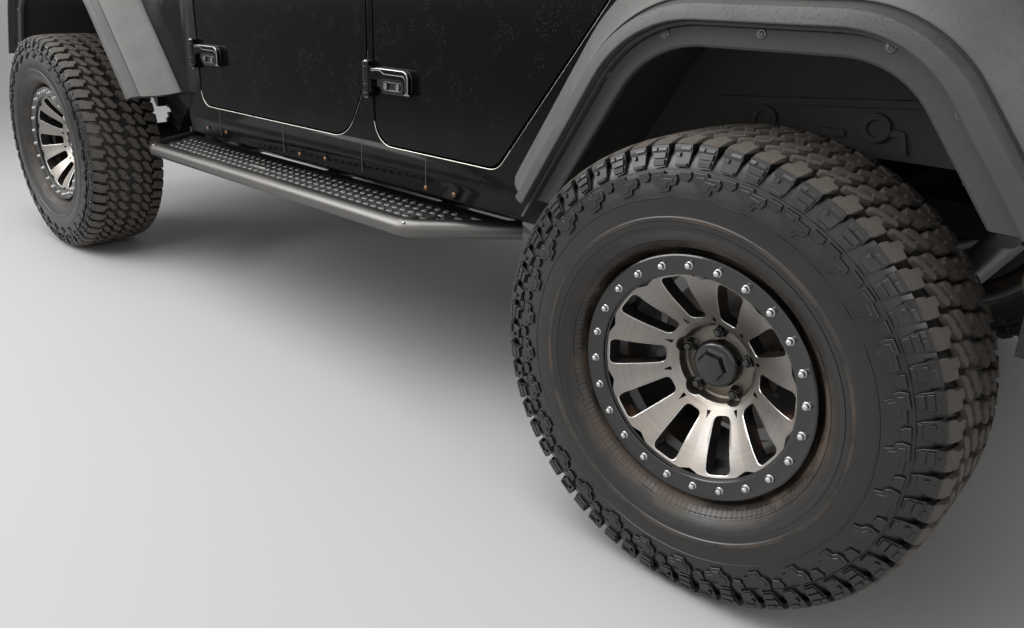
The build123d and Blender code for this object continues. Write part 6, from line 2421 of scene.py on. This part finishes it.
    def wipers(self) -> None:
        """Two wipers at rest on the windshield's foot, on their spindles in the cowl."""
        shape = Shape()
        foot, lean = Vector((2.112, 0.0, 0.842)), Vector((-0.285, 0.0, 0.590)).normalized()
        for y0, y1 in ((0.30, -0.16), (-0.22, -0.66)):
            spindle = Vector((foot.x, y0, foot.z + 0.004))
            knee = spindle + Vector((0.012, -0.10, 0.030))
            tip = Vector((foot.x, (y0 + y1) / 2, foot.z)) + lean * 0.055 + Vector((0.022, 0.0, 0.010))
            shape.tube([spindle, knee, tip], 0.0055, 8, 0)
            ends = [Vector((foot.x, y0 + 0.02, foot.z)) + lean * 0.048,
                    Vector((foot.x, y1, foot.z)) + lean * 0.062]
            out = Vector((0.020, 0.0, 0.010))
            blade = [ends[0].lerp(ends[1],
                                  k / 8) + out * (1 + 0.25 * math.sin(math.pi * k / 8)) for k in range(9)]
            shape.tube(blade, 0.0048, 8, 0)
            shape.tube([point - out * 0.35 for point in blade], 0.0026, 6, 0)
            base = lathe(([(0.016, -0.012), (0.015, 0.006), (0.010, 0.012), (0.0, 0.013)], 20, 0))
            shape.add(base, Matrix.Translation(spindle) @ Matrix.Rotation(math.pi / 2, 4, "X"))
        piece("windshield_wipers", shape.mesh("wipers", [TRIM], 35.0), "chassis", CAR)

    def build(self) -> None:
        """Shows every fitting of the front end."""
        self.lamps()
        self.grille()
        self.bumper()
        self.hood_fittings()
        self.wipers()


@dataclass
class SideFittings:
    """Mirror glass, the filler door and the window seals' outer lips."""

    mirror_rear: float = 1.870
    belt: float = 0.832

    def mirror(self, side: Side) -> None:
        """The glass of one door mirror, in a thin frame on the housing's rear face.

        Args:
            side: which side of the vehicle.
        """
        shape = Shape()
        y0, y1 = BODY_SIDE + 0.060, BODY_SIDE + 0.240
        z0, z1 = self.belt + 0.030, self.belt + 0.208
        outline = cut_corners([(y0, z0), (y1, z0), (y1, z1), (y0, z1)], 0.026, 6)
        x, way = self.mirror_rear + 0.001, side.value

        def rearward(u: float, v: float, h: float) -> Point:
            """A point on the housing's rear face."""
            return (x - h + 0.021 * (0.5 - (v - z0) / (z1 - z0)) * 0.2, u * way, v)

        shape.prism(outline, [(-0.003, 0.0), (0.0030, 0.0), (0.0040, 0.0012)], rearward, 0)
        shape.prism([(u, v) for u, v in shrunk(outline, 0.008)], [(0.0040, 0.0), (0.0046, 0.0008)],
                    rearward, 1)
        name = f"front_door_{side.word}"
        piece(f"mirror_glass_{side.word}", shape.mesh(f"mirror_{side.word}", [TRIM, CHROME], 30.0), name,
              CAR)

    def filler(self) -> None:
        """The round fuel filler door on the left rear quarter, with its screws."""
        shape = Shape()
        x, z = -0.430, 0.790
        one = lathe(([(0.062, -0.001), (0.062, 0.0030), (0.059, 0.0046), (0.052, 0.0046), (0.0505, 0.0026),
                      (0.0, 0.0032)], 48, 0))
        for angle in turns(6):
            screw = lathe(([(0.0042, 0.0), (0.0038, 0.0018), (0.0014, 0.0022), (0.0, 0.0010)], 10, 1))
            one.add(screw, Matrix.Translation(polar(0.0555, angle, 0.0044)))
        shape.add(one, Matrix.Translation((x, BODY_SIDE, z - 0.012)))
        piece("filler_door", shape.mesh("filler", [TRIM, FASTENER], 30.0), "chassis", CAR)

    def seals(self) -> None:
        """Rubber lips along the foot of each door's window."""
        for side in Side:
            for door, x0, x1 in (("front", 1.185, 1.970), ("rear", 0.400, 1.050)):
                shape = Shape()
                profile = [(0.7995, 0.850), (0.8035, 0.852), (0.8040, 0.858), (0.7990, 0.866),
                           (0.7950, 0.866), (0.7950, 0.850)]
                rings = [shape.ring((x, y * side.value, z) for y, z in profile) for x in (x0, x1)]
                shape.bridge(rings[0], rings[1], 0)
                shape.face(rings[0], 0)
                shape.face(rings[1], 0)
                mesh = shape.mesh(f"seal_{door}_{side.word}", [TRIM], 50.0)
                piece(f"window_seal_{door}_{side.word}", mesh, f"{door}_door_{side.word}",
                      CAR)

    def build(self) -> None:
        """Shows the fittings of both sides."""
        for side in Side:
            self.mirror(side)
        self.filler()
        self.seals()


@dataclass
class RearEnd:
    """Tail lamps, a bare plate, and the tailgate's handle and hinge covers."""

    tub_rear: float = -0.700
    lamp_y: Pair = (0.640, 0.760)
    lamp_z: Pair = (0.500, 0.740)

    def lamps(self) -> None:
        """Each tail lamp: a black case, red upper and lower lenses, and a clear one between."""
        shape = Shape()
        (y0, y1), (z0, z1) = self.lamp_y, self.lamp_z
        x = self.tub_rear
        outline = cut_corners([(y0, z0), (y1, z0), (y1, z1), (y0, z1)], 0.016, 4)
        back = behind(x)
        shape.prism(outline, [(0.0, 0.0), (0.030, 0.0), (0.034, 0.002)], back, 0)
        for low, high, mark in ((z0 + 0.008, z0 + 0.074, 1), (z0 + 0.080, z0 + 0.124, 2),
                                (z0 + 0.130, z1 - 0.008, 1)):
            lens = cut_corners([(y0 + 0.008, low), (y1 - 0.008, low), (y1 - 0.008, high),
                                (y0 + 0.008, high)], 0.009, 4)
            shape.prism(lens, [(0.034, 0.0), (0.040, 0.0), (0.0435, 0.003), (0.0445, 0.009)], back, mark)
        mesh = shape.mirrored().mesh("tail_lamps", [ENAMEL, RED_LENS, CLEAR_LENS], 30.0)
        piece("tail_lamp_units", mesh, "chassis", CAR, ["tail_lamps"])

    def plate(self) -> None:
        """A bare number plate with its frame."""
        shape = Shape()
        x = self.tub_rear - 0.150
        frame_line = cut_corners([(0.420, 0.074), (0.730, 0.074), (0.730, 0.172), (0.420, 0.172)], 0.008, 3)
        back = behind(x)
        shape.prism(frame_line, [(0.0, 0.0), (0.006, 0.0), (0.008, 0.002)], back, 0)
        shape.prism(shrunk(frame_line, 0.009), [(0.008, 0.0), (0.0095, 0.001)], back, 1)
        for y in (0.480, 0.670):
            screw = lathe(([(0.0060, 0.0), (0.0054, 0.0024), (0.0, 0.0030)], 12, 2))
            shape.add(screw, along(x - 0.0095, y, 0.158, -1))
        piece("bare_plate", shape.mesh("plate", [TRIM, PLATE, FASTENER], 30.0), "chassis",
              CAR)

    def gate(self) -> None:
        """The tailgate's handle and its hinge covers."""
        shape = Shape()
        x = self.tub_rear
        back = behind(x)
        cup = cut_corners([(0.420, 0.640), (0.545, 0.640), (0.545, 0.700), (0.420, 0.700)], 0.014, 4)
        shape.prism(cup, [(0.0, 0.0), (0.004, 0.0), (0.006, 0.002)], back, 0)
        shape.tube([Vector((x - 0.005, 0.535, 0.672)), Vector((x - 0.024, 0.520, 0.672)),
                    Vector((x - 0.030, 0.480, 0.672)), Vector((x - 0.024, 0.440, 0.672)),
                    Vector((x - 0.005, 0.428, 0.672))], 0.0085, 12, 0)
        for z in (0.400, 0.700):
            strap = cut_corners([(-0.562, z - 0.027), (-0.422, z - 0.022), (-0.422, z + 0.022),
                                 (-0.562, z + 0.027)], 0.012, 3)
            shape.prism(strap, [(0.0122, 0.0), (0.0165, 0.0), (0.0185, 0.002)], back, 1)
            for y in (-0.455, -0.510):
                bolt = lathe(([(0.0080, 0.0), (0.0074, 0.0036), (0.0056, 0.0046), (0.0, 0.0040)], 14, 2))
                shape.add(bolt, along(x - 0.0185, y, z, -1))
        mesh = shape.mesh("gate_fittings", [TRIM, HINGE, FASTENER], 30.0)
        piece("gate_fittings", mesh, "tailgate", CAR)

    def build(self) -> None:
        """Shows every fitting of the rear end."""
        self.lamps()
        self.plate()
        self.gate()


@dataclass
class Dashboard:
    """What the windshield shows: vents, a bare screen and two dials behind the wheel."""

    rear: float = 1.852

    def build(self) -> None:
        """Shows the dashboard's fittings."""
        shape = Shape()
        for y in (0.640, 0.150, -0.150, -0.640):
            one = lathe(
                ([(0.040, 0.0), (0.040, 0.006), (0.034, 0.009), (0.031, 0.004), (0.0, 0.003)], 32, 0))
            for k in range(-2, 3):
                one.box((-0.028, 0.003, k * 0.011 - 0.0016), (0.028, 0.0075, k * 0.011 + 0.0016), 0.0008, 0)
            shape.add(one, along(self.rear + 0.004, y, 0.680, -1))
        for y in (0.450, 0.340):
            dial = lathe(
                ([(0.046, -0.004), (0.046, 0.008), (0.042, 0.010), (0.040, 0.003), (0.0, 0.003)], 36, 1),
                ([(0.006, 0.003), (0.005, 0.008), (0.0, 0.009)], 12, 0))
            dial.box((-0.003, 0.0045, 0.0), (0.003, 0.0060, 0.034), 0.0008, 2)
            shape.add(dial, along(self.rear + 0.002, y, 0.735, -1))
        screen = cut_corners([(-0.105, 0.585), (0.105, 0.585), (0.105, 0.635), (-0.105, 0.635)], 0.008, 3)
        shape.prism(screen, [(0.0, 0.0), (0.006, 0.0), (0.008, 0.002)], lambda u, v,
                    h: (self.rear - h + 0.002, u, v), 1)
        mesh = shape.mesh("dash_fittings", [TRIM, ENAMEL, BRIGHT_METAL_AND_HIGHLIGHT], 30.0)
        piece("dashboard_fittings", mesh, "chassis", CAR)


@dataclass
class RoofRibs:
    """Pressed ribs along the hardtop and a panel seam across it."""

    tracks: tuple[float, ...] = (-0.42, -0.21, 0.0, 0.21, 0.42)
    spans: tuple[Pair, ...] = ((-0.440, 0.620), (0.790, 1.390))
    half: float = 0.030
    rise: float = 0.0042

    def skin(self, x: float, y: float) -> Point:
        """The point of the hardtop's top below a place given in rear-axle metres.

        Args:
            x: its station.
            y: its offset to the left.

        Returns:
            The point.
        """
        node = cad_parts["hardtop"]
        place = node.matrix_world.inverted() @ (CAR @ Vector((x, y, 3.0)))
        found, point, _, _ = node.ray_cast(place, Vector((0.0, 0.0, -1.0)))
        world = CAR.inverted() @ node.matrix_world @ point if found else Vector((x, y, 1.38))
        return (world.x, world.y, world.z)

    def rib(self, shape: Shape, x0: float, x1: float, y: float) -> None:
        """One rib with sloped flanks and tapered ends.

        Args:
            shape: what the rib is added to.
            x0: its rear end.
            x1: its front end.
            y: its middle.
        """
        section = [(-self.half, -0.002), (-self.half * 0.62, self.rise), (self.half * 0.62, self.rise),
                   (self.half, -0.002)]
        steps = [(x0, 0.0), (x0 + 0.030, 1.0)] + [(x0 + 0.030 + (x1 - x0 - 0.060) * k / 6,
                1.0) for k in range(1, 7)] + [(x1, 0.0)]
        rings = []
        for x, full in steps:
            points = []
            for across, lift in section:
                px, py, pz = self.skin(x, y + across * (0.4 + 0.6 * full))
                points.append((px, py, pz + (lift * full if lift > 0 else -0.002)))
            rings.append(shape.ring(points))
        shape.loft(rings, 0)
        shape.face(rings[0], 0)
        shape.face(rings[-1], 0)

    def build(self) -> None:
        """Shows the ribs and the seam."""
        shape = Shape()
        for y in self.tracks:
            for x0, x1 in self.spans:
                self.rib(shape, x0, x1, y)
        seam = [Vector(self.skin(0.705, y)) + Vector((0.0, 0.0, -0.0010)) for y in (-0.60, -0.4, -0.2, 0.0,
                0.2, 0.4, 0.60)]
        shape.tube(seam, 0.0042, 8, 1)
        piece("roof_ribs", shape.mesh("roof_ribs", [PAINT, TRIM], 25.0), "chassis", CAR)


# Finishes of the nodes that stay


NODE_FINISHES: dict[str, Finish] = {"body_tub": PAINT, "hardtop": TRIM, "windshield_frame": PAINT,
        "cab_glass": GLASS, "front_fenders": PAINT, "grille": PAINT, "head_lamps": CLEAR_LENS,
        "tail_lamps": RED_LENS, "front_bumper": COAT, "rear_bumper": COAT, "fender_flares": FLARE,
        "wheel_liners": LINER, "side_steps": STEP_COAT, "frame": COAT, "engine": IRON, "front_axle": COAT,
        "rear_axle": COAT, "coil_springs": COAT, "seats": CLOTH, "dashboard": TRIM, "knuckle_left": IRON,
        "knuckle_right": IRON, "tie_rod": COAT, "hood": PAINT, "tailgate": PAINT, "spare_tyre": RUBBER,
        "spare_rim": ALLOY, "control_links": COAT, "dampers": DAMPER, "driveshafts": IRON, "exhaust": PIPE,
        "fuel_tank": TRIM, "steering_wheel": TRIM, "console": TRIM,}


def dress_nodes() -> None:
    """Gives every node its finish, those that pieces stand for too."""
    for name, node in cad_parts.items():
        finish = NODE_FINISHES.get(name)
        if finish is None:
            words = (("glass", GLASS), ("door", PAINT), ("tyre", RUBBER), ("rim", ALLOY),
                     ("disc", DISC_STEEL))
            finish = next((found for word, found in words if word in name), COAT)
        material = finish.material()
        if not node.data.materials:
            node.data.materials.append(material)
        for i in range(len(node.material_slots)):
            node.material_slots[i].material = material
        log.info("node %s: %s", name, finish.name)


# Studio


@dataclass
class Studio:
    """A pale floor, soft lamps, a white surround and the photograph's camera."""

    eye: Point = (-1.9631, 2.2093, 1.1102)
    forward: Point = (0.642745, -0.695651, -0.320855)
    right: Point = (-0.729071, -0.684064, 0.022636)
    lens: float = 28.886
    shift: Pair = (0.0165, -0.0500)
    floor_colour: Colour = (0.56, 0.555, 0.55)
    ambient: float = 0.36

    def camera(self) -> None:
        """Stands the camera where the photograph was taken."""
        data = bpy.data.cameras.new("view")
        data.lens = self.lens
        data.sensor_width = 36.0
        data.sensor_fit = "HORIZONTAL"
        data.shift_x, data.shift_y = self.shift
        data.clip_end = 200.0
        made = bpy.data.objects.new("view", data)
        bpy.context.scene.collection.objects.link(made)
        forward, right = Vector(self.forward).normalized(), Vector(self.right).normalized()
        up = right.cross(forward).normalized()
        turn = Matrix((right, up, -forward)).transposed().to_4x4()
        made.matrix_world = Matrix.Translation(self.eye) @ turn
        bpy.context.scene.camera = made

    def floor(self) -> None:
        """A wide floor that keeps the shadows."""
        shape = Shape()
        size = 60.0
        corners = shape.ring([(-size, -size, 0.0), (size, -size, 0.0), (size, size, 0.0), (-size, size, 0.0)])
        shape.face(corners)
        made = bpy.data.objects.new("floor", shape.mesh("floor", []))
        bpy.context.scene.collection.objects.link(made)
        material = bpy.data.materials.new("floor")
        material.use_nodes = True
        graph = Graph(material.node_tree)
        fleck = graph.noise(3.0, 5.0, 0.6)
        graph.surface(Base_Color=graph.mix(fleck * 0.1, self.floor_colour, (0.5, 0.5, 0.5)), Roughness=0.7)
        made.data.materials.append(material)

    def lamp(self, name: str, place: Point, aim: Point, size: Pair, watts: float,
             spread: float = 180.0) -> None:
        """One soft rectangular lamp, its light kept within a spread in degrees.

        Args:
            name: the lamp's name.
            place: where it stands.
            aim: the point it faces.
            size: its width and height.
            watts: its power.
            spread: how wide its light spreads, in degrees.
        """
        data = bpy.data.lights.new(name, "AREA")
        data.shape = "RECTANGLE"
        data.size, data.size_y = size
        data.energy = watts
        data.spread = math.radians(spread)
        made = bpy.data.objects.new(name, data)
        bpy.context.scene.collection.objects.link(made)
        towards = Vector(aim) - Vector(place)
        made.matrix_world = Matrix.Translation(place) @ towards.to_track_quat("-Z", "Y").to_matrix().to_4x4()

    def surround(self) -> None:
        """A world that shows white to the camera and in reflections, and lights softly."""
        world = bpy.data.worlds.new("surround")
        bpy.context.scene.world = world
        world.use_nodes = True
        graph = Graph(world.node_tree)
        path = graph.node("ShaderNodeLightPath", {}, {}, "Is Camera Ray")
        outputs = path.socket.node.outputs
        glossy, through = Wire(graph, outputs["Is Glossy Ray"]), Wire(graph, outputs["Is Transmission Ray"])
        seen = graph.node("ShaderNodeMath", {"operation": "MAXIMUM"}, {0: path, 1: glossy})
        seen = graph.node("ShaderNodeMath", {"operation": "MAXIMUM"}, {0: seen, 1: through})
        strength = self.ambient + seen * (1.0 - self.ambient)
        shine = graph.node("ShaderNodeBackground", {}, {"Color": (1.0, 1.0, 1.0), "Strength": strength})
        graph.node("ShaderNodeOutputWorld", {}, {"Surface": shine})

    def build(self) -> None:
        """Sets up the whole studio."""
        self.camera()
        self.floor()
        self.lamp("top", (0.4, 1.8, 4.6), (-0.6, 0.6, 0.6), (4.5, 3.0), 150.0)
        self.lamp("front_key", (3.4, 4.4, 3.7), (-0.8, 0.8, 0.7), (4.6, 3.6), 105.0, 120.0)
        self.lamp("rear_fill", (-4.8, 1.0, 2.8), (-1.2, 0.2, 0.8), (2.6, 2.0), 30.0)
        self.surround()
        bpy.context.scene.view_settings.view_transform = "Standard"


def main() -> None:
    """Builds the studio and dresses the vehicle."""
    logging.basicConfig(level=logging.INFO, format="%(message)s")
    Studio().build()
    dress_nodes()
    build_wheels()
    Flares().build()
    LinerFlanges().build()
    SideSteps().build()
    TuckedSills().build()
    Springs().build()
    DoorTrim().build()
    StrapHinge().build()
    Seats().build()
    FrontEnd().build()
    SideFittings().build()
    RearEnd().build()
    Dashboard().build()
    RoofRibs().build()


if __name__ == "__main__":
    main()
